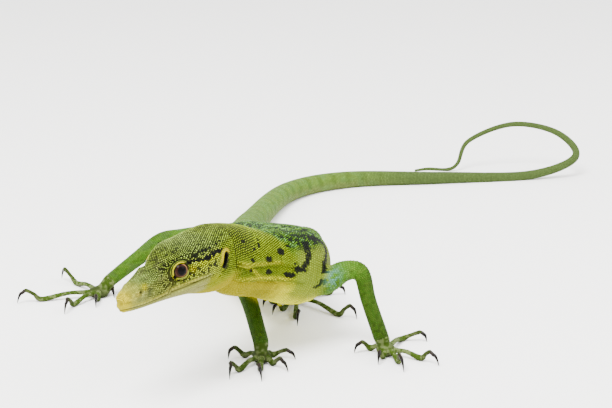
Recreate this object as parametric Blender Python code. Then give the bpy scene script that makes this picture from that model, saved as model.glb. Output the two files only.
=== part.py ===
"""Emerald tree monitor, a still life-size model standing on a floor.

Lengths below are in millimetres and the meshes are made in metres, +Z up. The animal faces -Y, the
tail runs to +Y, its left is +X, and the floor is z = 0. The origin is under the middle of its box.
"""

import math

import bmesh
import bpy
import numpy as np
from mathutils import Vector

MM = 0.001
GAP = 0.3

# The head's own frame: x runs forward from its rear plane, y to its left and z up.
HEAD_ORIGIN = np.array((-50.3, -153.1, 47.0))
HEAD_YAW = math.radians(-128.0)
HEAD_PITCH = math.radians(-10.5)
HEAD_ROLL = math.radians(0.5)
HEAD_LENGTH = 43.8
HEAD_SIDES = 32
HEAD_RINGS = 26

# Head sections: distance forward, half width, top above the axis, bottom below it.
HEAD_SECTIONS = (
    (-4.0, 9.4, 7.3, 15.0),
    (2.0, 9.8, 7.7, 14.7),
    (8.5, 10.0, 8.0, 12.6),
    (15.5, 9.8, 8.6, 9.6),
    (20.5, 9.1, 8.1, 8.2),
    (25.0, 7.0, 6.6, 7.5),
    (30.0, 5.3, 4.8, 6.8),
    (35.5, 4.1, 3.4, 6.0),
    (40.0, 3.2, 2.3, 5.1),
    (42.4, 2.4, 1.3, 4.4),
    (43.4, 1.4, 0.4, 3.7),
)
SNOUT_TIP = (HEAD_LENGTH, 0.0, -1.4)
CROWN_POWER = 3.1
THROAT_POWER = 2.2

# The mouth's line on the side of the head, from its corner to the front: distance and height.
MOUTH_LINE = ((9.0, -3.6), (14.0, -3.3), (20.0, -3.3), (26.0, -3.8), (31.0, -4.2), (36.0, -4.0), (42.0, -3.0))
MOUTH_SLIT = 0.4
LIP_SWELL = 0.35

EYE_CENTRE = (20.0, 5.2, 2.0)
EYE_RADIUS = 3.3
EYE_OPENING = (3.1, 2.5)
LID_RADIUS = 4.2
NOSTRIL = (36.8, 3.9, 1.0)
NOSTRIL_SIZE = (1.1, 1.2, 0.6)
EAR = (1.2, 9.4, -1.6)
EAR_SIZE = (1.1, 2.6, 3.0)

# The neck, trunk and tail: place of the centre line, half width and half height.
SPINE = (
    (-42.6, -141.4, 40.0, 10.2, 12.5),
    (-34.5, -131.0, 35.8, 11.4, 12.2),
    (-23.2, -116.5, 30.2, 14.4, 13.8),
    (-24.0, -99.0, 26.6, 16.2, 14.2),
    (-27.5, -80.0, 22.4, 16.8, 13.9),
    (-35.5, -59.0, 19.2, 15.2, 12.3),
    (-42.4, -39.0, 16.8, 12.0, 10.2),
    (-43.3, -23.0, 13.8, 8.6, 8.8),
    (-43.5, 3.0, 10.6, 6.8, 7.2),
    (-41.4, 34.8, 7.0, 5.9, 6.2),
    (-26.1, 103.8, 4.9, 5.0, 5.0),
    (4.1, 135.4, 4.2, 4.35, 4.35),
    (54.4, 144.8, 3.1, 3.25, 3.25),
    (103.5, 154.0, 2.4, 2.45, 2.45),
    (129.5, 161.0, 11.0, 2.0, 2.0),
    (121.7, 178.0, 21.0, 1.65, 1.65),
    (98.0, 184.5, 24.4, 1.4, 1.4),
    (73.7, 180.0, 16.1, 1.2, 1.2),
    (67.2, 175.0, 4.4, 1.0, 1.0),
    (61.5, 174.8, 0.9, 0.95, 0.95),
    (51.0, 176.7, 0.8, 0.85, 0.85),
    (43.0, 173.5, 0.5, 0.6, 0.6),
)
# Where the long body is parted, as places counted along SPINE, with the sides of each length.
SPINE_PARTS = (
    ("neck", 0.0, 1.7, 24, 10),
    ("torso", 1.7, 6.4, 24, 16),
    ("tail_base", 6.4, 8.9, 24, 9),
    ("tail_middle", 8.9, 11.0, 14, 12),
    ("tail_third", 11.0, 12.9, 12, 10),
    ("tail_loop", 12.9, 16.0, 10, 18),
    ("tail_tip", 16.0, 21.0, 8, 20),
)

# Each limb: its line from inside the body to the wrist or ankle, with the radius at each place.
LIMBS = {
    "front_left": (
        ((-18.0, -119.0, 25.0), 6.0),
        ((-9.5, -119.0, 25.5), 5.0),
        ((-2.2, -118.0, 29.0), 3.9),
        ((3.6, -118.0, 28.2), 3.3),
        ((6.3, -122.0, 19.1), 2.9),
        ((10.6, -129.0, 7.6), 2.9),
    ),
    "front_right": (
        ((-26.0, -113.0, 24.0), 6.0),
        ((-34.0, -112.5, 21.4), 4.5),
        ((-38.0, -113.0, 22.2), 3.9),
        ((-38.8, -117.0, 22.0), 3.6),
        ((-36.4, -124.0, 17.0), 3.1),
        ((-32.7, -134.4, 7.4), 2.9),
    ),
    "hind_left": (
        ((-38.0, -38.0, 16.0), 7.2),
        ((-27.0, -39.5, 18.0), 6.2),
        ((-16.5, -41.0, 20.5), 4.8),
        ((-13.5, -45.0, 18.0), 4.2),
        ((-16.0, -52.5, 11.5), 3.4),
        ((-19.3, -59.5, 6.6), 2.8),
    ),
    "hind_right": (
        ((-44.0, -38.0, 18.4), 7.8),
        ((-55.5, -39.0, 19.4), 6.3),
        ((-68.5, -41.0, 19.9), 4.5),
        ((-76.4, -45.0, 19.8), 3.9),
        ((-85.4, -49.5, 14.2), 3.2),
        ((-96.6, -55.4, 6.4), 2.75),
    ),
}
LIMB_SIDES = 12
LIMB_RINGS = 15
# The share of a limb's line at which its upper length ends.
KNEE_SHARE = 0.47

# Each foot: the place of its sole, its heading in degrees from +X, and its digits, first to
# fifth. A digit has the heading and reach from the sole of its knuckle, which rests on the
# floor, then of its end, where the claw is rooted, with that end's height, and of its claw tip.
FEET = {
    "front_left": {
        "sole": (12.6, -128.0),
        "heading": -50.0,
        "digits": (
            ((140.0, 7.2), (160.0, 9.0), 4.0, (172.0, 11.6)),
            ((-108.0, 4.6), (-110.0, 8.0), 4.2, (-107.0, 11.4)),
            ((-67.0, 10.2), (-74.0, 14.4), 5.2, (-74.0, 19.4)),
            ((-26.0, 13.6), (-31.0, 17.6), 4.5, (-34.0, 22.0)),
            ((66.0, 17.2), (49.0, 20.4), 3.6, (42.0, 21.4)),
        ),
    },
    "front_right": {
        "sole": (-32.4, -135.4),
        "heading": -92.0,
        "digits": (
            ((52.0, 6.4), (22.0, 9.4), 3.4, (10.0, 12.3)),
            ((-44.0, 5.6), (-48.0, 10.0), 4.0, (-49.0, 14.6)),
            ((-91.0, 9.6), (-93.0, 15.0), 4.8, (-88.5, 20.6)),
            ((-126.0, 12.8), (-125.0, 18.0), 5.0, (-120.0, 21.4)),
            ((145.0, 7.8), (160.0, 10.4), 4.4, (169.0, 12.4)),
        ),
    },
    "hind_left": {
        "sole": (-19.8, -63.4),
        "heading": -82.0,
        "digits": (
            ((-160.0, 10.6), (-155.0, 13.4), 3.4, (-150.0, 16.0)),
            ((-114.0, 14.0), (-117.0, 17.6), 4.2, (-118.0, 21.0)),
            ((-92.0, 22.6), (-89.0, 27.0), 4.8, (-90.0, 32.0)),
            ((-51.0, 25.2), (-47.0, 29.8), 5.2, (-46.0, 33.2)),
            ((34.0, 15.2), (28.0, 18.4), 4.0, (24.0, 21.2)),
        ),
    },
    "hind_right": {
        "sole": (-100.8, -57.0),
        "heading": -150.0,
        "digits": (
            ((62.0, 4.6), (12.0, 5.4), 3.4, (-19.0, 6.6)),
            ((-88.0, 6.6), (-90.0, 10.6), 4.0, (-88.0, 15.2)),
            ((-123.0, 15.6), (-119.0, 21.0), 4.9, (-114.0, 26.2)),
            ((-164.0, 23.2), (-164.0, 29.4), 5.2, (-163.0, 33.2)),
            ((126.0, 19.6), (130.0, 26.2), 5.8, (128.0, 31.0)),
        ),
    },
}
SOLE_LENGTH = {"front": 3.9, "hind": 4.6}
SOLE_WIDTH = {"front": 3.6, "hind": 4.0}
SOLE_HEIGHT = 2.6
DIGIT_RADIUS = 1.0
KNUCKLE_RADIUS = 1.2
CLAW_RADIUS = 0.75
CLAW_TIP_HEIGHT = 0.25
DIGIT_SIDES = 8
CLAW_SIDES = 6

COLOURS = {
    "skin_back": (0.13, 0.33, 0.06),
    "skin_head": (0.30, 0.40, 0.06),
    "skin_neck": (0.42, 0.50, 0.06),
    "skin_limb": (0.11, 0.30, 0.05),
    "skin_tail": (0.20, 0.34, 0.09),
    "eye": (0.16, 0.06, 0.03),
    "claw": (0.05, 0.04, 0.03),
}


def clear_scene():
    for obj in list(bpy.data.objects):
        bpy.data.objects.remove(obj)


def material(name):
    found = bpy.data.materials.get(name)
    if found:
        return found
    made = bpy.data.materials.new(name)
    made.use_nodes = True
    shader = made.node_tree.nodes["Principled BSDF"]
    shader.inputs["Base Color"].default_value = (*COLOURS[name], 1.0)
    shader.inputs["Roughness"].default_value = 0.25 if name == "eye" else 0.55
    shader.inputs["Metallic"].default_value = 0.0
    return made


def unit(vector):
    return vector / np.linalg.norm(vector)


def along_curve(points, places):
    """Points of a smooth curve through the given ones, at places counted in stations."""
    points = np.asarray(points, float)
    last = len(points) - 1
    padded = np.vstack((2 * points[0] - points[1], points, 2 * points[-1] - points[-2]))
    made = []
    for place in places:
        i = min(int(place), last - 1)
        t = place - i
        p0, p1, p2, p3 = padded[i : i + 4]
        made.append(
            0.5
            * (
                2 * p1
                + (p2 - p0) * t
                + (2 * p0 - 5 * p1 + 4 * p2 - p3) * t**2
                + (3 * p1 - p0 - 3 * p2 + p3) * t**3
            )
        )
    return np.array(made)


def even_places(points, start, end, count):
    """Places from start to end that lie at even distances along the curve."""
    fine = np.linspace(start, end, 400)
    line = along_curve(np.asarray(points)[:, :3], fine)
    run = np.concatenate(([0], np.cumsum(np.linalg.norm(np.diff(line, axis=0), axis=1))))
    return np.interp(np.linspace(0, run[-1], count), run, fine)


def superellipse(sides, power_up, power_down):
    """Sideways and upward shares of a rounded outline, anticlockwise from the side."""
    angles = np.linspace(0, 2 * math.pi, sides, endpoint=False)
    power = np.where(np.sin(angles) >= 0, power_up, power_down)
    across = np.sign(np.cos(angles)) * np.abs(np.cos(angles)) ** (2 / power)
    upward = np.sign(np.sin(angles)) * np.abs(np.sin(angles)) ** (2 / power)
    return across, upward


def skin_tube(name, rings, finish):
    """A closed mesh over a run of rings, each an array of points in millimetres."""
    rings = np.asarray(rings)
    count, sides = rings.shape[:2]
    verts = [tuple(p) for p in rings.reshape(-1, 3) * MM]
    faces = []
    for i in range(count - 1):
        for j in range(sides):
            k = (j + 1) % sides
            faces.append((i * sides + j, i * sides + k, (i + 1) * sides + k, (i + 1) * sides + j))
    faces.append(tuple(range(sides)))
    faces.append(tuple(range((count - 1) * sides, count * sides)))
    mesh = bpy.data.meshes.new(name)
    mesh.from_pydata(verts, [], faces)
    return finished(name, mesh, finish)


def finished(name, mesh, finish):
    """An object of a closed mesh, with its faces out and its round sides smooth."""
    work = bmesh.new()
    work.from_mesh(mesh)
    bmesh.ops.recalc_face_normals(work, faces=work.faces)
    work.to_mesh(mesh)
    work.free()
    mesh.materials.append(material(finish))
    mesh.shade_smooth()
    mesh.set_sharp_from_angle(angle=math.radians(50))
    obj = bpy.data.objects.new(name, mesh)
    bpy.context.scene.collection.objects.link(obj)
    return obj


def boolean(obj, others, operation):
    """Joins or cuts obj with other closed meshes, which are then removed."""
    group = bpy.data.collections.new(obj.name + "_pieces")
    for other in others:
        group.objects.link(other)
    step = obj.modifiers.new(operation.lower(), "BOOLEAN")
    step.operation = operation
    step.operand_type = "COLLECTION"
    step.collection = group
    step.solver = "MANIFOLD"
    bpy.context.view_layer.update()
    graph = bpy.context.evaluated_depsgraph_get()
    mesh = bpy.data.meshes.new_from_object(obj.evaluated_get(graph))
    obj.modifiers.clear()
    obj.data = mesh
    for other in others:
        bpy.data.objects.remove(other)
    bpy.data.collections.remove(group)
    keep_largest(obj)
    return obj


def keep_largest(obj):
    """Drops every closed surface of the mesh but the one with the largest box."""
    work = bmesh.new()
    work.from_mesh(obj.data)
    left, pieces = set(work.verts), []
    while left:
        stack = [left.pop()]
        piece = set(stack)
        while stack:
            for edge in stack.pop().link_edges:
                for vert in edge.verts:
                    if vert in left:
                        left.discard(vert)
                        piece.add(vert)
                        stack.append(vert)
        pieces.append(piece)
    pieces.sort(key=box_size)
    for piece in pieces[:-1]:
        bmesh.ops.delete(work, geom=list(piece), context="VERTS")
    work.to_mesh(obj.data)
    work.free()


def box_size(verts):
    places = np.array([v.co for v in verts])
    return float(np.prod(np.ptp(places, axis=0) + 1e-6))


def rest_on_floor(obj):
    """Cuts off what reaches below the floor and closes the flat that is left."""
    if min(v.co.z for v in obj.data.vertices) >= 0:
        return
    work = bmesh.new()
    work.from_mesh(obj.data)
    everything = work.verts[:] + work.edges[:] + work.faces[:]
    bmesh.ops.bisect_plane(
        work,
        geom=everything,
        dist=1e-7,
        plane_co=(0, 0, 0),
        plane_no=(0, 0, 1),
        clear_inner=True,
    )
    rim = [edge for edge in work.edges if edge.is_boundary]
    bmesh.ops.holes_fill(work, edges=rim, sides=0)
    bmesh.ops.recalc_face_normals(work, faces=work.faces)
    work.to_mesh(obj.data)
    work.free()


def head_axes():
    """Forward, left and up of the head as unit vectors, turned by its yaw, pitch and roll."""
    level = np.array((math.cos(HEAD_YAW), math.sin(HEAD_YAW), 0.0))
    forward = level * math.cos(HEAD_PITCH) + np.array((0, 0, math.sin(HEAD_PITCH)))
    left = unit(np.cross((0, 0, 1), forward))
    up = np.cross(forward, left)
    rolled_left = left * math.cos(HEAD_ROLL) + up * math.sin(HEAD_ROLL)
    rolled_up = up * math.cos(HEAD_ROLL) - left * math.sin(HEAD_ROLL)
    return np.array((forward, rolled_left, rolled_up))


def from_head(point):
    """A point of the head's frame, in the model's frame."""
    return HEAD_ORIGIN + np.asarray(point, float) @ head_axes()


def mouth_height(x):
    """Height of the mouth's line at a distance along the head."""
    return np.interp(x, *zip(*MOUTH_LINE))


def head_ring(place, grow=0.0):
    """One section of the head, in the head's frame."""
    x, half, top, bottom = along_curve(HEAD_SECTIONS, [place])[0]
    across, upward = superellipse(HEAD_SIDES, CROWN_POWER, THROAT_POWER)
    height = np.where(upward >= 0, upward * (top + grow), upward * (bottom + grow))
    width = across * (half + grow)
    lip = np.exp(-(((height - mouth_height(x)) / 1.1) ** 2)) * (x > MOUTH_LINE[0][0])
    width = width + np.sign(width) * LIP_SWELL * lip * (np.abs(across) > 0.5)
    return np.stack((np.full(HEAD_SIDES, x), width, height), axis=1)


def head_body():
    places = even_places([(s[0], 0, 0) for s in HEAD_SECTIONS], 0, len(HEAD_SECTIONS) - 1, HEAD_RINGS)
    rings = [from_head(head_ring(place)) for place in places]
    tip = head_ring(places[-1])
    nose = np.array(SNOUT_TIP)
    rings.append(from_head(nose + (tip - nose) * (0.12, 0.35, 0.35)))
    return skin_tube("head", rings, "skin_head")


def ball(name, centre, sizes, axes, segments=20, rings=12, finish="skin_head"):
    """An ellipsoid with its half sizes along the given axes."""
    mesh = bpy.data.meshes.new(name)
    work = bmesh.new()
    bmesh.ops.create_uvsphere(work, u_segments=segments, v_segments=rings, radius=1.0)
    for vert in work.verts:
        vert.co = Vector((np.array(vert.co) * sizes) @ axes + centre) * MM
    work.to_mesh(mesh)
    work.free()
    return finished(name, mesh, finish)


def side_axes(side):
    """Axes for something set on the side of the head: forward, up, and out to that side."""
    forward, left, up = head_axes()
    return np.array((forward, up, left * side))


def mirrored(point, side):
    return np.array((point[0], point[1] * side, point[2]))


def mouth_cutter():
    """A thin sheet along the mouth's line, right through the head."""
    xs = np.linspace(MOUTH_LINE[0][0], HEAD_LENGTH + 3, 12)
    reach = 14.0
    rings = []
    for x in xs:
        z = float(mouth_height(x))
        half = MOUTH_SLIT / 2
        corners = ((x, -reach, z - half), (x, reach, z - half), (x, reach, z + half), (x, -reach, z + half))
        rings.append([from_head(c) for c in corners])
    return skin_tube("mouth_cutter", rings, "skin_head")


def make_head():
    head = head_body()
    cutters = [mouth_cutter()]
    lids = []
    for side in (1, -1):
        axes = side_axes(side)
        eye = from_head(mirrored(EYE_CENTRE, side))
        lids.append(ball("lid", eye, (LID_RADIUS + 0.5, LID_RADIUS - 0.2, LID_RADIUS - 0.6), axes))
        reach = EYE_RADIUS + GAP
        cutters.append(ball("socket", eye, (reach, reach, reach), axes))
        out = eye + axes[2] * EYE_RADIUS * 1.15
        cutters.append(ball("opening", out, (*EYE_OPENING, EYE_RADIUS * 0.8), axes, 16, 8))
        nose = from_head(mirrored(NOSTRIL, side))
        cutters.append(ball("nostril", nose, NOSTRIL_SIZE, axes, 10, 6))
        ear = from_head(mirrored(EAR, side))
        cutters.append(ball("ear", ear, EAR_SIZE, axes, 14, 8))
    boolean(head, lids, "UNION")
    boolean(head, cutters, "DIFFERENCE")
    for side, word in ((1, "left"), (-1, "right")):
        eye = from_head(mirrored(EYE_CENTRE, side))
        ball("eye_" + word, eye, (EYE_RADIUS,) * 3, side_axes(side), 16, 10, "eye")


def spine_stations():
    """SPINE with the rear of the head in front of it."""
    rear = head_ring(0.0)
    rear_x = HEAD_SECTIONS[0][0] - GAP
    half = (rear[:, 1].max(), (rear[:, 2].max() - rear[:, 2].min()) / 2)
    middle = (rear[:, 2].max() + rear[:, 2].min()) / 2
    joint = from_head((rear_x, 0, middle))
    return np.vstack(((*joint, *half), SPINE))


def spine_ring(stations, place, sides, grow=0.0):
    """One section across the neck, trunk or tail."""
    station = along_curve(stations, [place])[0]
    step = 0.02
    ends = along_curve(stations, [max(place - step, 0), min(place + step, len(stations) - 1)])[:, :3]
    tangent = unit(ends[1] - ends[0])
    side = unit(np.cross(tangent, (0, 0, 1)))
    up = np.cross(side, tangent)
    rear_weight = max(0.0, 1.0 - place)
    if rear_weight > 0:
        forward, left, head_up = head_axes()
        side = unit(side * (1 - rear_weight) + left * rear_weight)
        tangent = unit(tangent * (1 - rear_weight) - forward * rear_weight)
        up = unit(np.cross(side, tangent))
        side = np.cross(tangent, up)
    across, upward = superellipse(sides, 2.3, 2.3)
    wide = (station[3] + grow) * across
    high = (station[4] + grow) * upward
    return station[:3] + wide[:, None] * side + high[:, None] * up


def part_rings(start, end, sides, count, grow=0.0):
    """The sections of one length of the body, which ends a gap short of the next length."""
    stations = spine_stations()
    start, end = start + (1.0 if start else 0.0), end + 1.0
    ahead = min(end + 0.1, len(stations) - 1)
    run = float(np.linalg.norm(np.diff(along_curve(stations, [end, ahead])[:, :3], axis=0)))
    last = end - 0.1 * GAP / run if run else end
    places = even_places(stations, start, last, count)
    return [spine_ring(stations, place, sides, grow) for place in places]


def body_cutter():
    """The neck, torso and tail base as one closed form, a gap larger than they are."""
    rings = []
    for _, start, end, _, count in SPINE_PARTS[:3]:
        rings += part_rings(start, end, SPINE_PARTS[0][3], count, GAP)
    return skin_tube("body_cutter", rings, "skin_back")


def make_spine():
    for name, start, end, sides, count in SPINE_PARTS:
        finish = {"neck": "skin_neck", "torso": "skin_back"}.get(name, "skin_tail")
        rest_on_floor(skin_tube(name, part_rings(start, end, sides, count), finish))


def limb_rings(points, radii, sides, count):
    """Round sections along a limb, kept from twisting, with their centres and directions."""
    stations = np.hstack((np.asarray(points, float), np.asarray(radii, float)[:, None]))
    places = even_places(stations, 0, len(stations) - 1, count)
    line = along_curve(stations, places)
    tangents = np.gradient(line[:, :3], axis=0)
    tangents /= np.linalg.norm(tangents, axis=1)[:, None]
    side = unit(np.cross(tangents[0], (0.0, 0.0, 1.0)))
    angles = np.linspace(0, 2 * math.pi, sides, endpoint=False)
    rings = []
    for centre, tangent in zip(line, tangents):
        side = unit(side - tangent * (side @ tangent))
        up = np.cross(side, tangent)
        turned = np.outer(np.cos(angles), side) + np.outer(np.sin(angles), up)
        rings.append(centre[:3] + turned * centre[3])
    return np.array(rings), line, tangents


def make_limb(name):
    """The upper and lower lengths of one limb, meeting the trunk and each other."""
    points, radii = zip(*LIMBS[name])
    rings, line, tangents = limb_rings(points, radii, LIMB_SIDES, LIMB_RINGS)
    split = round(KNEE_SHARE * (LIMB_RINGS - 1))
    words = ("upper_arm", "forearm") if name.startswith("front") else ("thigh", "shin")
    lower = rings[split:].copy()
    lower[0] += tangents[split] * GAP
    for word, run in zip(words, (rings[: split + 1], lower)):
        boolean(skin_tube(f"{word}_{name}", run, "skin_limb"), [body_cutter()], "DIFFERENCE")
    return rings[-1], line[-1, :3], tangents[-1]


def heading_vector(degrees):
    angle = math.radians(degrees)
    return np.array((math.cos(angle), math.sin(angle), 0.0))


def placed(sole, place, level):
    """A point at a heading and reach from the sole's centre, at a height above the floor."""
    return np.array((*sole, 0.0)) + heading_vector(place[0]) * place[1] + np.array((0, 0, level))


def toe_line(sole, knuckle, end, height, tip):
    """Stations of a digit from inside the sole, over its knuckle and on to its raised end."""
    low = placed(sole, knuckle, KNUCKLE_RADIUS - 0.3)
    high = placed(sole, end, height)
    point = placed(sole, tip, CLAW_TIP_HEIGHT)
    start = placed(sole, (knuckle[0], 1.5), 2.1)
    middle = (start + low) / 2
    middle[2] = 2.6
    return (
        (start, DIGIT_RADIUS * 1.15),
        (middle, DIGIT_RADIUS),
        (low, KNUCKLE_RADIUS),
        ((low + high) / 2 + np.array((0, 0, 0.2)), DIGIT_RADIUS * 0.88),
        (high, DIGIT_RADIUS * 0.9),
        (high + unit((point - high) * (1, 1, 0)) * 0.9 - np.array((0, 0, 0.2)), DIGIT_RADIUS * 0.8),
    )


def claw_line(root, ahead, point):
    """Stations of a claw, straight out of its digit and then curved down to its point."""
    start = root + ahead * GAP
    neck = start + ahead * 0.7
    away = (point - neck) * (1, 1, 0)
    fall = neck[2] - point[2]
    return (
        (start, CLAW_RADIUS),
        (neck, CLAW_RADIUS * 0.95),
        (neck + away * 0.62 - np.array((0, 0, fall * 0.34)), CLAW_RADIUS * 0.68),
        (point, 0.16),
    )


def make_foot(name, wrist, centre, tangent):
    """The sole and its digits as one solid, with a claw on each digit."""
    foot = FEET[name]
    kind = name.split("_")[0]
    sole = np.array((*foot["sole"], SOLE_HEIGHT - 0.5))
    ahead = heading_vector(foot["heading"])
    axes = np.array((ahead, (-ahead[1], ahead[0], 0.0), (0.0, 0.0, 1.0)))
    sizes = (SOLE_LENGTH[kind], SOLE_WIDTH[kind], SOLE_HEIGHT)
    cuff = [wrist + tangent * GAP]
    for share, scale in ((0.35, 0.98), (0.7, 0.85), (1.0, 0.6)):
        cuff.append(sole + (wrist - centre) * scale + (centre - sole) * (1 - share))
    hand = skin_tube(("hand_" if kind == "front" else "foot_") + name, cuff, "skin_limb")
    pieces = [ball("sole", sole, sizes, axes, 14, 8, "skin_limb")]
    for number, digit in enumerate(foot["digits"], 1):
        points, radii = zip(*toe_line(foot["sole"], *digit))
        rings, line, ends = limb_rings(points, radii, DIGIT_SIDES, 9)
        pieces.append(skin_tube("digit", rings, "skin_limb"))
        tip = placed(foot["sole"], digit[3], CLAW_TIP_HEIGHT)
        points, radii = zip(*claw_line(line[-1, :3], ends[-1], tip))
        nail, _, _ = limb_rings(points, radii, CLAW_SIDES, 6)
        skin_tube(f"claw_{name}_{number}", nail, "claw")
    boolean(hand, pieces, "UNION")
    rest_on_floor(hand)


def main():
    clear_scene()
    make_head()
    make_spine()
    for name in LIMBS:
        make_foot(name, *make_limb(name))


main()
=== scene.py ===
import functools
import math
import bmesh
import bpy
import numpy as np
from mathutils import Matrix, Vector
from mathutils.bvhtree import BVHTree
from mathutils.kdtree import KDTree


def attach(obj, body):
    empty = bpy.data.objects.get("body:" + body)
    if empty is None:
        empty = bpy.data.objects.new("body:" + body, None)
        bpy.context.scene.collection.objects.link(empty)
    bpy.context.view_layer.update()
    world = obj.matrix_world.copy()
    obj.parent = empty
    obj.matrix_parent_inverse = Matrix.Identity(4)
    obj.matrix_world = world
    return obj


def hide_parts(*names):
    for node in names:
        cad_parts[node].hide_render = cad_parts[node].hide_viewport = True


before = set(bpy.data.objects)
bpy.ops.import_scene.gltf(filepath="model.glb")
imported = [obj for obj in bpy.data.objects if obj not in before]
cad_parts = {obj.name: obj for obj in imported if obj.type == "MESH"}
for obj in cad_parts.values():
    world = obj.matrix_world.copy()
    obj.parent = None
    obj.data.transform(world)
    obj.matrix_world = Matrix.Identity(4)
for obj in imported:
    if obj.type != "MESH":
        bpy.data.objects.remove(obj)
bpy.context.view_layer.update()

# Lengths are in millimetres until a mesh is written. The animal faces -Y and its left is +X.
MM = 0.001
SKIN_DEPTH = 0.14
LOWEST = 0.02
CHUNK = 2000
TURN = 2 * math.pi
RNG = np.random.default_rng(7)

HEAD_ORIGIN = np.array((-50.3, -153.1, 47.0))
HEAD_YAW, HEAD_PITCH, HEAD_ROLL = math.radians(-128.0), math.radians(-10.5), math.radians(0.5)
HEAD_REAR_X, HEAD_FRONT_X = -4.0, 43.35
NOSE_TIP = np.array((43.85, 0.0, -2.5))
# Sections of the head: distance forward, half width, height above and below the axis.
HEAD_SECTIONS = np.array((
    (-4.0, 9.4, 7.3, 15.0), (2.0, 9.8, 7.7, 14.7), (8.5, 10.0, 8.0, 12.6), (15.5, 9.8, 8.6, 9.6),
    (20.5, 9.1, 8.1, 8.2), (25.0, 7.0, 6.6, 7.5), (30.0, 5.3, 4.8, 6.8), (35.5, 4.1, 3.4, 6.0),
    (40.0, 3.2, 2.3, 5.1), (42.4, 2.4, 1.3, 4.4), (43.4, 1.4, 0.4, 3.7),
))
CROWN_POWER, THROAT_POWER, BODY_POWER = 3.1, 2.2, 2.3
MOUTH_LINE = np.array((
    (9.0, -3.6), (14.0, -3.3), (20.0, -3.3), (26.0, -3.8), (31.0, -4.2), (36.0, -4.0), (42.0, -3.0),
))
EYE_CENTRE = np.array((20.0, 5.2, 2.0))
EYE_RADIUS = 3.3
NOSTRIL = np.array((36.8, 3.9, 1.0))
EAR_TOP, EAR_LOW = np.array((1.4, 9.6, 0.4)), np.array((3.1, 9.6, -2.7))

# The body's line: x, y, z, half width and half height.
SPINE = np.array((
    (-42.6, -141.4, 40.0, 10.2, 12.5), (-34.5, -131.0, 35.8, 11.4, 12.2), (-23.2, -116.5, 30.2, 14.4, 13.8),
    (-24.0, -99.0, 26.6, 16.2, 14.2), (-27.5, -80.0, 22.4, 16.8, 13.9), (-35.5, -59.0, 19.2, 15.2, 12.3),
    (-42.4, -39.0, 16.8, 12.0, 10.2), (-43.3, -23.0, 13.8, 8.6, 8.8), (-43.5, 3.0, 10.6, 6.8, 7.2),
    (-41.4, 34.8, 7.0, 5.9, 6.2), (-26.1, 103.8, 4.9, 5.0, 5.0), (4.1, 135.4, 4.2, 4.35, 4.35),
    (54.4, 144.8, 3.1, 3.25, 3.25), (103.5, 154.0, 2.4, 2.45, 2.45), (129.5, 161.0, 11.0, 2.0, 2.0),
    (121.7, 178.0, 21.0, 1.65, 1.65), (98.0, 184.5, 24.4, 1.4, 1.4), (73.7, 180.0, 16.1, 1.2, 1.2),
    (67.2, 175.0, 4.4, 1.0, 1.0), (61.5, 174.8, 0.9, 0.95, 0.95), (51.0, 176.7, 0.8, 0.85, 0.85),
    (43.0, 173.5, 0.5, 0.6, 0.6),
))
# Each limb from the body to the wrist or ankle: x, y, z and radius.
LIMBS = {
    "front_left": (
        (-18.0, -119.0, 25.0, 6.0), (-9.5, -119.0, 25.5, 5.0), (-2.2, -118.0, 29.0, 3.9),
        (3.6, -118.0, 28.2, 3.3), (6.3, -122.0, 19.1, 2.9), (10.6, -129.0, 7.6, 2.9),
    ),
    "front_right": (
        (-26.0, -113.0, 24.0, 6.0), (-34.0, -112.5, 21.4, 4.5), (-38.0, -113.0, 22.2, 3.9),
        (-38.8, -117.0, 22.0, 3.6), (-36.4, -124.0, 17.0, 3.1), (-32.7, -134.4, 7.4, 2.9),
    ),
    "hind_left": (
        (-38.0, -38.0, 16.0, 7.2), (-27.0, -39.5, 18.0, 6.2), (-16.5, -41.0, 20.5, 4.8),
        (-13.5, -45.0, 18.0, 4.2), (-16.0, -52.5, 11.5, 3.4), (-19.3, -59.5, 6.6, 2.8),
    ),
    "hind_right": (
        (-44.0, -38.0, 18.4, 7.8), (-55.5, -39.0, 19.4, 6.3), (-68.5, -41.0, 19.9, 4.5),
        (-76.4, -45.0, 19.8, 3.9), (-85.4, -49.5, 14.2, 3.2), (-96.6, -55.4, 6.4, 2.75),
    ),
}
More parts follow.
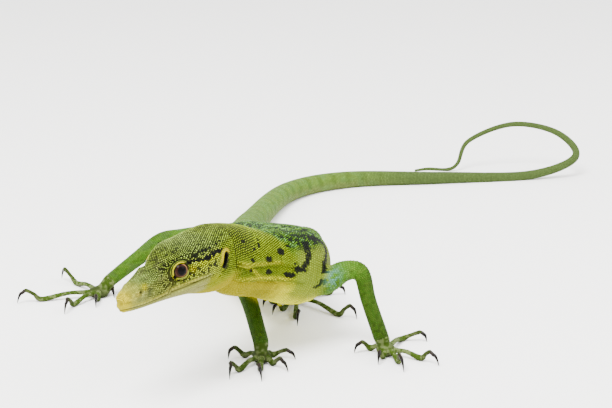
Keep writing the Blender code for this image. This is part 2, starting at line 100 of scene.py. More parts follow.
# Each foot: its sole's place, its heading, and its digits as knuckle, end, end height and claw tip.
# Knuckle, end and tip are a heading in degrees and a distance from the sole's middle.
FEET = {
    "front_left": ((12.6, -128.0), -50.0, (
        ((140.0, 7.2), (160.0, 9.0), 4.0, (172.0, 11.6)),
        ((-108.0, 4.6), (-110.0, 8.0), 4.2, (-107.0, 11.4)),
        ((-67.0, 10.2), (-74.0, 14.4), 5.2, (-74.0, 19.4)),
        ((-26.0, 13.6), (-31.0, 17.6), 4.5, (-34.0, 22.0)),
        ((66.0, 17.2), (49.0, 20.4), 3.6, (42.0, 21.4)),
    )),
    "front_right": ((-32.4, -135.4), -92.0, (
        ((52.0, 6.4), (22.0, 9.4), 3.4, (10.0, 12.3)),
        ((-44.0, 5.6), (-48.0, 10.0), 4.0, (-49.0, 14.6)),
        ((-91.0, 9.6), (-93.0, 15.0), 4.8, (-88.5, 20.6)),
        ((-126.0, 12.8), (-125.0, 18.0), 5.0, (-120.0, 21.4)),
        ((145.0, 7.8), (160.0, 10.4), 4.4, (169.0, 12.4)),
    )),
    "hind_left": ((-19.8, -63.4), -82.0, (
        ((-160.0, 10.6), (-155.0, 13.4), 3.4, (-150.0, 16.0)),
        ((-114.0, 14.0), (-117.0, 17.6), 4.2, (-118.0, 21.0)),
        ((-92.0, 22.6), (-89.0, 27.0), 4.8, (-90.0, 32.0)),
        ((-51.0, 25.2), (-47.0, 29.8), 5.2, (-46.0, 33.2)),
        ((34.0, 15.2), (28.0, 18.4), 4.0, (24.0, 21.2)),
    )),
    "hind_right": ((-100.8, -57.0), -150.0, (
        ((62.0, 4.6), (12.0, 5.4), 3.4, (-19.0, 6.6)),
        ((-88.0, 6.6), (-90.0, 10.6), 4.0, (-88.0, 15.2)),
        ((-123.0, 15.6), (-119.0, 21.0), 4.9, (-114.0, 26.2)),
        ((-164.0, 23.2), (-164.0, 29.4), 5.2, (-163.0, 33.2)),
        ((126.0, 19.6), (130.0, 26.2), 5.8, (128.0, 31.0)),
    )),
}
SOLE_LENGTH = {"front": 3.9, "hind": 4.6}
SOLE_WIDTH = {"front": 3.6, "hind": 4.0}
SOLE_HEIGHT = 2.6
DIGIT_RADIUS, KNUCKLE_RADIUS = 0.95, 1.15
CLAW_RADIUS, CLAW_TIP_HEIGHT = 0.72, 0.25


# Curves and sections
def unit(v):
    v = np.asarray(v, float)
    return v / np.maximum(np.linalg.norm(v, axis=-1, keepdims=True), 1e-12)


def along_curve(points, places):
    """Points of a smooth curve through the given ones, at places counted in stations."""
    points = np.asarray(points, float)
    places = np.atleast_1d(np.asarray(places, float))
    padded = np.vstack((2 * points[0] - points[1], points, 2 * points[-1] - points[-2]))
    i = np.clip(places.astype(int), 0, len(points) - 2)
    t = (places - i)[:, None]
    p0, p1, p2, p3 = (padded[i + k] for k in range(4))
    return 0.5 * (
        2 * p1
        + (p2 - p0) * t
        + (2 * p0 - 5 * p1 + 4 * p2 - p3) * t**2
        + (3 * p1 - p0 - 3 * p2 + p3) * t**3
    )


def run_of(line):
    return np.concatenate(([0.0], np.cumsum(np.linalg.norm(np.diff(line, axis=0), axis=1))))


def rows_at(at, run, table):
    """Rows of a table at places along its run."""
    return np.stack([np.interp(at, run, column) for column in table.T], axis=-1)


def smooth(x, low, high):
    t = np.clip((np.asarray(x, float) - low) / (high - low), 0, 1)
    return t * t * (3 - 2 * t)


def bell(x, width):
    """1 at zero, falling off over the width."""
    return np.exp(-((x / width) ** 2))


def mix(a, b, t):
    return np.asarray(a, float) + (np.asarray(b, float) - np.asarray(a, float)) * np.asarray(t)[..., None]


def wrapped(angle):
    return (angle + math.pi) % TURN - math.pi


def head_axes():
    level = np.array((math.cos(HEAD_YAW), math.sin(HEAD_YAW), 0.0))
    forward = level * math.cos(HEAD_PITCH) + np.array((0, 0, math.sin(HEAD_PITCH)))
    left = unit(np.cross((0, 0, 1), forward))
    up = np.cross(forward, left)
    turned_left = left * math.cos(HEAD_ROLL) + up * math.sin(HEAD_ROLL)
    turned_up = up * math.cos(HEAD_ROLL) - left * math.sin(HEAD_ROLL)
    return np.array((forward, turned_left, turned_up))


AXES = head_axes()


def from_head(p):
    return HEAD_ORIGIN + np.asarray(p, float) @ AXES


def to_head(p):
    return (np.asarray(p, float) - HEAD_ORIGIN) @ AXES.T


def to_left(q):
    """Points of the head's frame with y as distance from the midline."""
    return np.stack((q[..., 0], np.abs(q[..., 1]), q[..., 2]), axis=-1)


def mouth_height(x):
    return np.interp(x, MOUTH_LINE[:, 0], MOUTH_LINE[:, 1])


def half_outline(wide, top, low, power_up, power_low):
    """The left half of a section, from its lowest point to its highest."""
    a = np.linspace(-math.pi / 2, math.pi / 2, 181)
    power = np.where(a >= 0, power_up, power_low)
    across = np.abs(np.cos(a)) ** (2 / power)
    upward = np.sign(a) * np.abs(np.sin(a)) ** (2 / power)
    return np.stack((wide * across, np.where(a >= 0, upward * top, upward * low)), axis=1)


def sampled(outline, parting, low_steps, high_steps, bunch):
    """Points of a half outline, low_steps up to the parting height and high_steps above it."""
    run = run_of(outline)
    at = float(np.interp(parting, outline[:, 1], run))
    up = np.arange(1, high_steps + 1) / high_steps
    down = np.arange(low_steps, -1, -1) / low_steps
    up = up * (1 - bunch * (1 - up))
    down = down * (1 - bunch * (1 - down))
    return rows_at(np.concatenate((at - at * down, at + (run[-1] - at) * up)), run, outline)


LOW_STEPS, HIGH_STEPS = 40, 56
REST_SHARE = 0.40  # where the parting lies on the body's half outline


def rest_height(outline):
    run = run_of(outline)
    return float(np.interp(REST_SHARE * run[-1], run, outline[:, 1]))


def closed_ring(half):
    """The whole section from its left half: up the left side and down the right."""
    return np.vstack((half, half[-2:0:-1] * (-1, 1)))


HEAD_TABLE = along_curve(HEAD_SECTIONS, np.linspace(0, len(HEAD_SECTIONS) - 1, 600))


def head_station(x):
    """The head's half width and its heights above and below the axis."""
    return [float(np.interp(x, HEAD_TABLE[:, 0], HEAD_TABLE[:, k])) for k in (1, 2, 3)]


def head_section(x, steps=1):
    """A ring of the head in the head's frame."""
    wide, top, low = head_station(min(x, HEAD_SECTIONS[-1, 0]))
    outline = half_outline(wide, top, low, CROWN_POWER, THROAT_POWER)
    calm = float(smooth(-x, -9.0, 4.0))
    parting = mouth_height(x) * (1 - calm) + rest_height(outline) * calm
    half = sampled(outline, parting, LOW_STEPS // steps, HIGH_STEPS // steps, 0.55 * (1 - calm))
    ring = closed_ring(half)
    return np.hstack((np.full((len(ring), 1), x), ring))


def spine_stations():
    wide, top, low = HEAD_SECTIONS[0, 1:]
    joint = from_head((HEAD_REAR_X - 0.3, 0, (top - low) / 2))
    return np.vstack(((*joint, wide, (top + low) / 2), SPINE))


STATIONS = spine_stations()


def spine_frames(places):
    """Station values, tangent, side and up at places along the body."""
    places = np.atleast_1d(np.asarray(places, float))
    last = len(STATIONS) - 1
    at = along_curve(STATIONS, places)
    ahead = along_curve(STATIONS, np.minimum(places + 0.02, last))[:, :3]
    behind = along_curve(STATIONS, np.maximum(places - 0.02, 0))[:, :3]
    tangent = unit(ahead - behind)
    side = unit(np.cross(tangent, (0, 0, 1.0)))
    up = np.cross(side, tangent)
    near_head = np.clip(1 - places, 0, 1)[:, None]
    side_near = unit(side * (1 - near_head) + AXES[1] * near_head)
    tangent_near = unit(tangent * (1 - near_head) - AXES[0] * near_head)
    up_near = unit(np.cross(side_near, tangent_near))
    side = np.where(near_head > 0, np.cross(tangent_near, up_near), side)
    up = np.where(near_head > 0, up_near, up)
    tangent = np.where(near_head > 0, tangent_near, tangent)
    return at, tangent, side, up


FINE_PLACES = np.linspace(0, len(STATIONS) - 1, 2400)
FINE_AT, FINE_TANGENT, FINE_SIDE, FINE_UP = spine_frames(FINE_PLACES)
FINE_RUN = run_of(FINE_AT[:, :3])
BODY_LENGTH = FINE_RUN[-1]
NECK_END = 34.0
TRUNK_END, TAIL_THIN = (float(np.interp(station, FINE_PLACES, FINE_RUN)) for station in (9.4, 13.5))


def spine_section(run, low_steps, high_steps):
    """A ring of the body at a distance behind the head, in the model's frame."""
    place = float(np.interp(run, FINE_RUN, FINE_PLACES))
    at, _, side, up = spine_frames([place])
    near_head = max(0.0, 1 - place)
    power_up = BODY_POWER + (CROWN_POWER - BODY_POWER) * near_head
    power_low = BODY_POWER + (THROAT_POWER - BODY_POWER) * near_head
    high = at[0, 4]
    lift = (HEAD_SECTIONS[0, 3] - HEAD_SECTIONS[0, 2]) / 2 * near_head
    outline = half_outline(at[0, 3], high - lift, high + lift, power_up, power_low)
    outline[:, 1] += lift
    ring = closed_ring(sampled(outline, rest_height(outline), low_steps, high_steps, 0.0))
    return at[0, :3] + ring[:, :1] * side[0] + ring[:, 1:] * up[0]


# Numbers that vary smoothly and repeatably over space. The large ones scramble whole numbers.
SCRAMBLE = (374761393, 668265263, 2147483647)
MIXER, MASK = 1274126177, 0xFFFFFF


def lattice(cells, seed):
    h = sum(cells[..., k] * SCRAMBLE[k] for k in range(3)) + seed * MIXER
    h = (h ^ (h >> 13)) * MIXER
    return ((h ^ (h >> 16)) & MASK) / float(MASK)


def noise(p, size, seed=0):
    """Smooth values between 0 and 1, with blobs about size across."""
    q = np.asarray(p, float) / size
    low = np.floor(q).astype(np.int64)
    t = q - low
    t = t * t * (3 - 2 * t)
    total = 0.0
    for dx, dy, dz in np.ndindex(2, 2, 2):
        w = (t[..., 0] if dx else 1 - t[..., 0]) * (t[..., 1] if dy else 1 - t[..., 1])
        w = w * (t[..., 2] if dz else 1 - t[..., 2])
        total = total + w * lattice(low + np.array((dx, dy, dz)), seed)
    return total


def line_distance(p, line):
    """Distance of points from a broken line."""
    p, line = np.asarray(p, float), np.asarray(line, float)
    best = np.full(p.shape[:-1], 1e9)
    for a, b in zip(line[:-1], line[1:]):
        ab = b - a
        t = np.clip(((p - a) @ ab) / (ab @ ab), 0, 1)
        best = np.minimum(best, np.linalg.norm(p - (a + t[..., None] * ab), axis=-1))
    return best


def near(p, line, width):
    """How near points lie to a line, 1 on it and falling off over the width."""
    return bell(line_distance(p, line), width)


def spot(p, centre, width):
    return bell(np.linalg.norm(p - centre, axis=1), width)


# The skin's shape. Ridges and humps of the head: how far they stand out, where, and how wide.
BROW = ((28.0, 3.7, 4.2), (25.0, 5.0, 5.5), (21.5, 6.6, 6.5), (17.5, 7.7, 6.5), (13.5, 8.4, 5.6))
CANTHUS = ((37.0, 3.0, 2.4), (33.0, 3.7, 3.5), (29.5, 4.3, 4.3), (27.0, 4.6, 5.0))
TEMPLE = ((15.5, 8.4, 5.4), (11.0, 9.0, 5.2), (5.0, 9.0, 4.6), (-1.0, 8.6, 4.0))
HUMPS = (
    (-0.45, (29.8, 5.4, 0.9), (3.6, 3.0, 1.9)),
    (-0.28, (33.8, 4.6, 1.2), (2.6, 3.0, 1.3)),
    (0.55, (9.0, 10.0, -1.2), (5.5, 5.0, 4.0)),
    (-0.40, (15.6, 9.4, 1.6), (2.2, 3.5, 1.6)),
)
LIP_FORM = ((0.34, -0.95, 0.62), (0.20, 0.85, 0.55), (-0.16, -2.1, 0.45))
JAW_CREASE = ((15.5, 8.0, -6.1), (11.4, 8.2, -7.0), (7.2, 8.6, -7.6), (4.6, 9.2, -5.9), (3.8, 9.6, -4.4))
LID_OUTER = 3.62
LID_TILT = math.radians(-12.0)
GAZE = unit((0.38, 0.90, 0.22))
EYE_AHEAD = unit(np.array((1.0, 0, 0)) - GAZE * GAZE[0])
EYE_UP = np.cross(EYE_AHEAD, GAZE)


def round_the_gaze(turns):
    """Directions square to the gaze, turning from ahead to up."""
    return np.outer(np.cos(turns), EYE_AHEAD) + np.outer(np.sin(turns), EYE_UP)


def eye_angles(p):
    """For points of the left side: distance from the eye, angle off the gaze and bearing."""
    d = p - EYE_CENTRE
    far = np.linalg.norm(d, axis=-1)
    off = np.arccos(np.clip((d @ GAZE) / np.maximum(far, 1e-9), -1, 1))
    return far, off, np.arctan2(d @ EYE_UP, d @ EYE_AHEAD) - LID_TILT


def lid_opening(bearing):
    """How far off the gaze the lids open, toward each bearing. Pointed at the front corner."""
    wide, high = math.radians(51.0), math.radians(44.0)
    base = 1 / np.sqrt((np.cos(bearing) / wide) ** 2 + (np.sin(bearing) / high) ** 2)
    front = bell(wrapped(bearing + 0.32), 0.30)
    rear = bell((bearing + 0.05) % TURN - math.pi, 0.28)
    return base + math.radians(12.0) * front + math.radians(3.0) * rear


def head_relief(q):
    """How far the head's surface stands out from its plain sections, at points of its frame."""
    p = to_left(q)
    x, z = p[..., 0], p[..., 2]
    jaw = mouth_height(x)
    d = 0.85 * near(p, BROW, 1.25) * smooth(-x, -29.5, -23.0)
    d += 0.24 * near(p, CANTHUS, 1.1)
    d += 0.30 * near(p, TEMPLE, 1.5)
    for amount, centre, radii in HUMPS:
        d += amount * np.exp(-((((p - np.array(centre)) / np.array(radii)) ** 2).sum(-1)))
    for amount, offset, width in LIP_FORM:
        d += amount * smooth(x, 9.5, 12.5) * bell(z - jaw + offset, width)
    d += 0.30 * bell(np.linalg.norm(p - NOSTRIL, axis=-1) - 1.15, 0.5)
    ear = line_distance(p, (EAR_TOP, EAR_LOW))
    before_ear = smooth(x - np.interp(z, (-3.8, 0.6), (2.6, 0.4)), -0.4, 0.8)
    d += 0.50 * bell(ear - 1.25, 0.6) * (0.35 + 0.65 * before_ear)
    d -= 0.55 * bell(ear, 0.8)
    d -= 0.30 * near(p, JAW_CREASE, 0.5)
    return d


def lid_shape(q):
    """Draws the surface round the eye in to the lids, which follow the ball."""
    side = np.where(q[..., 1] >= 0, 1.0, -1.0)
    p = to_left(q)
    far, off, bearing = eye_angles(p)
    over = off - lid_opening(bearing)
    fade = smooth(over, math.radians(9.0), math.radians(40.0))
    fold = 0.16 * bell(over - math.radians(15), math.radians(4.5))
    wanted = LID_OUTER + 0.10 * bell(over, math.radians(6)) - fold
    radius = wanted * (1 - fade) + far * fade
    radius = np.where((far < 9.0) & (off < math.radians(100)), radius, far)
    p = EYE_CENTRE + (p - EYE_CENTRE) * (radius / np.maximum(far, 1e-9))[..., None]
    return np.stack((p[..., 0], p[..., 1] * side, p[..., 2]), axis=-1)


# Folds of the neck, in the model's frame: points of the line, its ridge's and its groove's size.
FOLDS = (
    ((
        (-41.6, -157.2, 43.7), (-39.4, -154.2, 42.1), (-36.8, -150.5, 40.9), (-33.1, -146.0, 39.6),
        (-27.4, -139.6, 38.5), (-23.9, -136.4, 37.0), (-20.4, -133.7, 35.6),
    ), 0.55, 0.50),
    ((
        (-43.2, -153.8, 35.2), (-39.2, -151.2, 35.2), (-35.9, -148.2, 34.6), (-31.8, -144.0, 33.7),
        (-27.4, -139.5, 32.2), (-22.2, -135.3, 30.6), (-16.9, -130.9, 29.2),
    ), 0.65, 0.65),
    ((
        (-40.0, -154.5, 42.2), (-38.1, -152.2, 40.9), (-36.1, -149.5, 39.5), (-34.5, -147.4, 37.7),
        (-33.2, -145.8, 35.7), (-31.8, -144.0, 33.7),
    ), 0.45, 0.30),
    (((-42.1, -148.9, 31.4), (-34.3, -143.9, 30.4), (-25.7, -136.3, 27.4), (-18.5, -129.5, 24.8)), 0.14, 0.30),
)
FOLD_WIDTH = 0.75


def body_place(p):
    """Distance behind the head, height angle and left or right of points near the body."""
    p = np.asarray(p, float)
    found = np.empty((3, len(p)))
    for i in range(0, len(p), CHUNK):
        part = p[i : i + CHUNK]
        at = ((part[:, None] - FINE_AT[None, ::3, :3]) ** 2).sum(-1).argmin(1) * 3
        d = part - FINE_AT[at, :3]
        run = FINE_RUN[at] + (d * FINE_TANGENT[at]).sum(1)
        up = (d * FINE_UP[at]).sum(1) / FINE_AT[at, 4]
        across = (d * FINE_SIDE[at]).sum(1) / FINE_AT[at, 3]
        found[:, i : i + CHUNK] = run, np.arctan2(up, np.abs(across)), np.sign(across)
    return found


def fold_table(line, ridge, groove):
    """A fold's places along the body and up, in order along it, with its sizes."""
    run, rise, _ = body_place(np.array(line))
    order = np.argsort(run)
    return run[order], rise[order], ridge, groove


FOLD_TABLES = [fold_table(*fold) for fold in FOLDS]


def neck_relief(run, rise, radius):
    d = np.zeros_like(run)
    for runs, rises, ridge, groove in FOLD_TABLES:
        off = (rise - np.interp(run, runs, rises)) * radius
        first, last = runs.min(), runs.max()
        fade = smooth(run, first - 2.5, first + 1.5) * smooth(-run, -last - 2.5, -last + 2.0)
        d += fade * ridge * bell(off, FOLD_WIDTH)
        d -= fade * groove * bell(off + 1.5 * FOLD_WIDTH, 0.9 * FOLD_WIDTH)
    return d


def head_rings(step, steps):
    """The head's rings from the snout back, with relief and lids, in the model's frame."""
    last = head_section(HEAD_FRONT_X, steps)
    tip = []
    for turn in (75, 60, 45, 30, 15):
        share = math.cos(math.radians(turn))
        ring = NOSE_TIP + (last - NOSE_TIP) * (0, share, share)
        ring[:, 0] = HEAD_FRONT_X + (NOSE_TIP[0] - HEAD_FRONT_X) * math.sin(math.radians(turn))
        tip.append(ring)
    rings = np.array(tip + [head_section(x, steps) for x in np.arange(HEAD_FRONT_X, HEAD_REAR_X, -step)])
    around = np.roll(rings, -1, axis=1) - np.roll(rings, 1, axis=1)
    normals = unit(np.cross(np.gradient(rings, axis=0), around))
    outward = (normals * (rings - np.array((20.0, 0, -1)))).sum(-1).mean()
    normals = normals * (1 if outward > 0 else -1)
    mouth = np.zeros(rings.shape[1])
    low = LOW_STEPS // steps
    mouth[[low, -low]] = 1.0
    groove = smooth(rings[:, :, 0], 9.3, 11.5) * mouth
    rings = rings + normals * (head_relief(rings) - 0.55 * groove - SKIN_DEPTH)[..., None]
    return from_head(lid_shape(rings))


def body_rings(start, end, step, low_steps, high_steps):
    """The body's rings, sunk by the skin's depth, with the neck's folds where they begin at the head."""
    runs = np.arange(start, end, step)
    rings = np.array([spine_section(run, low_steps, high_steps) for run in runs])
    middle = rings.mean(axis=1, keepdims=True)
    outward = unit(rings - middle)
    radius = np.linalg.norm(rings - middle, axis=-1)
    depth = min(SKIN_DEPTH, 0.12 * float(radius.min()))
    if start > NECK_END:
        return rings - outward * depth
    rise = np.empty(radius.shape)
    for i, run in enumerate(runs):
        at, _, side, up = spine_frames([float(np.interp(run, FINE_RUN, FINE_PLACES))])
        d = rings[i] - at[0, :3]
        rise[i] = np.arctan2((d @ up[0]) / at[0, 4], np.abs(d @ side[0]) / at[0, 3])
    relief = neck_relief(np.repeat(runs[:, None], radius.shape[1], 1), rise, radius)
    return rings + outward * (relief - depth)[..., None]


# Meshes
def band(low, high, count):
    """Faces between two rings that start at point numbers low and high."""
    return [(low + k, low + (k + 1) % count, high + (k + 1) % count, high + k) for k in range(count)]


def joined_rings(blocks, tip):
    """Points and faces over blocks of rings, each with as many sides as the last or half as many."""
    ends = [tip], [blocks[-1][-1].mean(axis=0)]
    points = np.vstack((ends[0], *(block.reshape(-1, 3) for block in blocks), ends[1]))
    sides = blocks[0].shape[1]
    faces = [(0, 1 + (k + 1) % sides, 1 + k) for k in range(sides)]
    at, last = 1, None
    for block in blocks:
        rows, count = block.shape[:2]
        if last is not None and sides == count:
            faces += band(last, at, count)
        elif last is not None:
            for k in range(count):
                n = at + (k + 1) % count
                a, b, c = last + 2 * k, last + 2 * k + 1, last + (2 * k + 2) % sides
                faces += [(a, b, at + k), (b, n, at + k), (b, c, n)]
        last, sides = at + (rows - 1) * count, count
        for base in range(at, last, count):
            faces += band(base, base + count, count)
        at += rows * count
    faces += [(last + k, last + (k + 1) % sides, len(points) - 1) for k in range(sides)]
    return points, faces


def new_object(name, data):
    obj = bpy.data.objects.new(name, data)
    bpy.context.scene.collection.objects.link(obj)
    return obj


def reworked(mesh, change):
    """Runs one bmesh operation over all faces of a mesh."""
    work = bmesh.new()
    work.from_mesh(mesh)
    change(work, faces=work.faces)
    work.to_mesh(mesh)
    work.free()


def mesh_object(name, points, faces):
    mesh = bpy.data.meshes.new(name)
    mesh.from_pydata([tuple(p) for p in np.asarray(points) * MM], [], faces)
    reworked(mesh, bmesh.ops.recalc_face_normals)
    return new_object(name, mesh)


def tube(name, rings):
    return mesh_object(name, *joined_rings([rings], rings[0].mean(axis=0)))


def evaluated(obj):
    """Gives obj the mesh that its modifiers make, and drops them."""
    bpy.context.view_layer.update()
    graph = bpy.context.evaluated_depsgraph_get()
    mesh = bpy.data.meshes.new_from_object(obj.evaluated_get(graph))
    obj.modifiers.clear()
    old = obj.data
    obj.data = mesh
    bpy.data.meshes.remove(old)


def boolean(obj, others, operation):
    """Joins the others to obj or cuts them out of it, and removes them."""
    group = bpy.data.collections.new(obj.name + "_with")
    for other in others:
        group.objects.link(other)
    step = obj.modifiers.new("join", "BOOLEAN")
    step.operation = operation
    step.operand_type = "COLLECTION"
    step.collection = group
    step.solver = "MANIFOLD"
    evaluated(obj)
    for other in others:
        bpy.data.objects.remove(other)
    bpy.data.collections.remove(group)


def points_of(mesh):
    flat = np.empty(len(mesh.vertices) * 3)
    mesh.vertices.foreach_get("co", flat)
    return flat.reshape(-1, 3) / MM


def tree_of(points, faces):
    return BVHTree.FromPolygons([tuple(p) for p in points], faces)


def relax(mesh, weight, rounds):
    """Draws a mesh's points toward the middle of their neighbours, by weight, and keeps them off z = 0."""
    points = points_of(mesh)
    edges = np.empty(len(mesh.edges) * 2, np.int64)
    mesh.edges.foreach_get("vertices", edges)
    edges = edges.reshape(-1, 2)
    count = np.bincount(edges.ravel(), minlength=len(points)).astype(float)
    for _ in range(rounds):
        total = np.zeros_like(points)
        for k in range(3):
            total[:, k] = np.bincount(edges[:, 0], points[edges[:, 1], k], len(points))
            total[:, k] += np.bincount(edges[:, 1], points[edges[:, 0], k], len(points))
        middle = total / np.maximum(count, 1)[:, None]
        points = points + (middle - points) * weight[:, None]
    mesh.vertices.foreach_set("co", (points * MM).ravel())
    mesh.update()


# Limbs and feet
def limb_rings(stations, sides, step):
    """Round sections along a limb, kept from twisting, with their centres and directions."""
    points = np.array(stations)
    fine = np.linspace(0, len(points) - 1, 300)
    run = run_of(along_curve(points, fine)[:, :3])
    count = max(4, int(run[-1] / step))
    line = along_curve(points, np.interp(np.linspace(0, run[-1], count), run, fine))
    tangents = unit(np.gradient(line[:, :3], axis=0))
    side = unit(np.cross(tangents[0], (0.0, 0.0, 1.0)))
    angles = np.linspace(0, TURN, sides, endpoint=False)
    rings, sides_at = [], []
    for centre, tangent in zip(line, tangents):
        side = unit(side - tangent * (side @ tangent))
        up = np.cross(side, tangent)
        sides_at.append(side)
        rings.append(centre[:3] + centre[3] * (np.outer(np.cos(angles), side) + np.outer(np.sin(angles), up)))
    return np.array(rings), line, tangents, np.array(sides_at)


def heading_vector(degrees):
    angle = math.radians(degrees)
    return np.array((math.cos(angle), math.sin(angle), 0.0))


def placed(sole, place, level):
    return np.array((*sole, 0.0)) + heading_vector(place[0]) * place[1] + np.array((0, 0, level))


def toe_line(sole, knuckle, end, height, tip):
    """Stations of a digit from inside the sole, over its knuckle and on to its raised end."""
    low = placed(sole, knuckle, KNUCKLE_RADIUS - 0.2)
    high = placed(sole, end, height)
    point = placed(sole, tip, CLAW_TIP_HEIGHT)
    start = placed(sole, (knuckle[0], 1.5), 2.1)
    middle = (start + low) / 2
    middle[2] = 2.6
    drop = np.array((0, 0, 0.2))
    return (
        (*start, DIGIT_RADIUS * 1.25),
        (*middle, DIGIT_RADIUS),
        (*low, KNUCKLE_RADIUS),
        (*((low + high) / 2 + drop), DIGIT_RADIUS * 0.88),
        (*high, DIGIT_RADIUS * 0.95),
        (*(high + unit((point - high) * (1, 1, 0)) * 0.9 - drop), DIGIT_RADIUS * 0.78),
    )


def claw_line(root, ahead, point):
    """Stations of a claw from inside its digit, curving down to its point."""
    neck = root + ahead * 0.9
    away = (point - neck) * (1, 1, 0)
    fall = neck[2] - point[2]
    rows = [(*(root - ahead * 0.5), CLAW_RADIUS * 0.9), (*neck, CLAW_RADIUS * 0.92)]
    for forward, down, size in ((0.35, 0.08, 0.82), (0.66, 0.36, 0.58), (0.88, 0.70, 0.32)):
        rows.append((*(neck + away * forward - np.array((0, 0, fall * down))), CLAW_RADIUS * size))
    return (*rows, (*point, 0.06))


def ellipsoid(name, centre, sizes, axes, segments=32, rings=20):
    mesh = bpy.data.meshes.new(name)
    work = bmesh.new()
    bmesh.ops.create_uvsphere(work, u_segments=segments, v_segments=rings, radius=1.0)
    for vert in work.verts:
        vert.co = Vector(((np.array(vert.co) * sizes) @ np.asarray(axes) + centre) * MM)
    work.to_mesh(mesh)
    work.free()
    return new_object(name, mesh)


TUBES = []  # each limb, palm and digit: kind, name, line with radii, directions along and aside
CLAWS = {}


def foot_pieces(name, wrist, centre, tangent):
    place, heading, digits = FEET[name]
    kind = name.split("_")[0]
    sole = np.array((*place, SOLE_HEIGHT - 0.5))
    ahead = heading_vector(heading)
    axes = np.array((ahead, (-ahead[1], ahead[0], 0.0), (0.0, 0.0, 1.0)))
    sizes = np.array((SOLE_LENGTH[kind], SOLE_WIDTH[kind], SOLE_HEIGHT)) - 0.1
    cuff = [wrist - tangent * 1.0, wrist]
    for share, scale in ((0.35, 0.98), (0.7, 0.85), (1.0, 0.6)):
        cuff.append(sole + (wrist - centre) * scale + (centre - sole) * (1 - share))
    made = [tube("cuff", np.array(cuff)), ellipsoid("sole", sole, sizes, axes)]
    for number, digit in enumerate(digits, 1):
        rings, line, ends, sides = limb_rings(toe_line(place, *digit), 16, 0.4)
        made.append(tube("digit", rings))
        TUBES.append(("digit", name, line, ends, sides))
        tip = placed(place, digit[3], CLAW_TIP_HEIGHT)
        CLAWS[f"{name}_{number}"] = limb_rings(claw_line(line[-1, :3], ends[-1], tip), 16, 0.22)
    back = wrist.mean(axis=0)
    palm = np.array(((*back, 2.9), (*((back + sole) / 2), 3.0), (*sole, 3.3)))
    TUBES.append(("palm", name, palm, None, None))
    return made


def limb_objects():
    made = []
    for name, stations in LIMBS.items():
        rings, line, tangents, sides = limb_rings(stations, 32, 0.6)
        rings = line[:, None, :3] + (rings - line[:, None, :3]) * (1 - SKIN_DEPTH / line[:, 3])[:, None, None]
        TUBES.append(("limb", name, line, tangents, sides))
        made.append(tube("limb", rings))
        made += foot_pieces(name, rings[-1], line[-1, :3], tangents[-1])
    return made


def limbs_skin(voxel):
    """Limbs and feet as one smooth closed surface."""
    work = bmesh.new()
    for part in limb_objects():
        work.from_mesh(part.data)
        bpy.data.objects.remove(part)
    obj = new_object("limbs", bpy.data.meshes.new("limbs"))
    work.to_mesh(obj.data)
    work.free()
    step = obj.modifiers.new("one", "REMESH")
    step.mode = "VOXEL"
    step.voxel_size = voxel * MM
    evaluated(obj)
    relax(obj.data, np.full(len(obj.data.vertices), 0.5), 3)
    points = points_of(obj.data)
    points[:, 2] = np.maximum(points[:, 2], LOWEST)
    obj.data.vertices.foreach_set("co", (points * MM).ravel())
    obj.data.update()
    return obj


def eye_cutter(side):
    """A closed cone from inside the eye out through the lids' opening."""
    turns = np.linspace(-math.pi, math.pi, 96, endpoint=False)
    open_by = lid_opening(turns)
    rays = np.cos(open_by)[:, None] * GAZE + np.sin(open_by)[:, None] * round_the_gaze(turns + LID_TILT)
    far = EYE_CENTRE + unit(rays + GAZE * 0.6) * 8.0
    rings = np.array((EYE_CENTRE + rays * 1.0, EYE_CENTRE + rays * 6.5, far)) * (1, side, 1)
    return tube("eye_cutter", from_head(rings))


def cutters():
    made = []
    for side in (1, -1):
        turned = np.array((1, side, 1))
        out = AXES * turned[:, None]
        long = unit((EAR_TOP - EAR_LOW) * turned)
        across = unit(np.cross(long, (0, side, 0)))
        ear_axes = np.array((across, long, np.cross(long, across))) @ AXES
        socket = (EYE_RADIUS + 0.02,) * 3
        made.append(eye_cutter(side))
        for name, centre, sizes, axes, segments, rings in (
            ("socket", EYE_CENTRE, socket, out, 64, 40),
            ("nostril", NOSTRIL + (0, -0.1, 0), (0.58, 1.20, 0.38), out, 32, 20),
            ("ear", (EAR_TOP + EAR_LOW) / 2, (1.40, 2.55, 1.6), ear_axes, 48, 32),
        ):
            made.append(ellipsoid(name, from_head(centre * turned), sizes, axes, segments, rings))
    return made


# Steps along head, trunk, tail and tail's end, thinning of the head's rings, and the limbs' voxel.
HEAD_STEP, TRUNK_STEP, TAIL_STEP, END_STEP, HEAD_THIN, LIMB_VOXEL = (
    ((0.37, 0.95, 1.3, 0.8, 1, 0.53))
)
LIMB_REGION = (-137, -20)
BLEND_REACH = 2.6


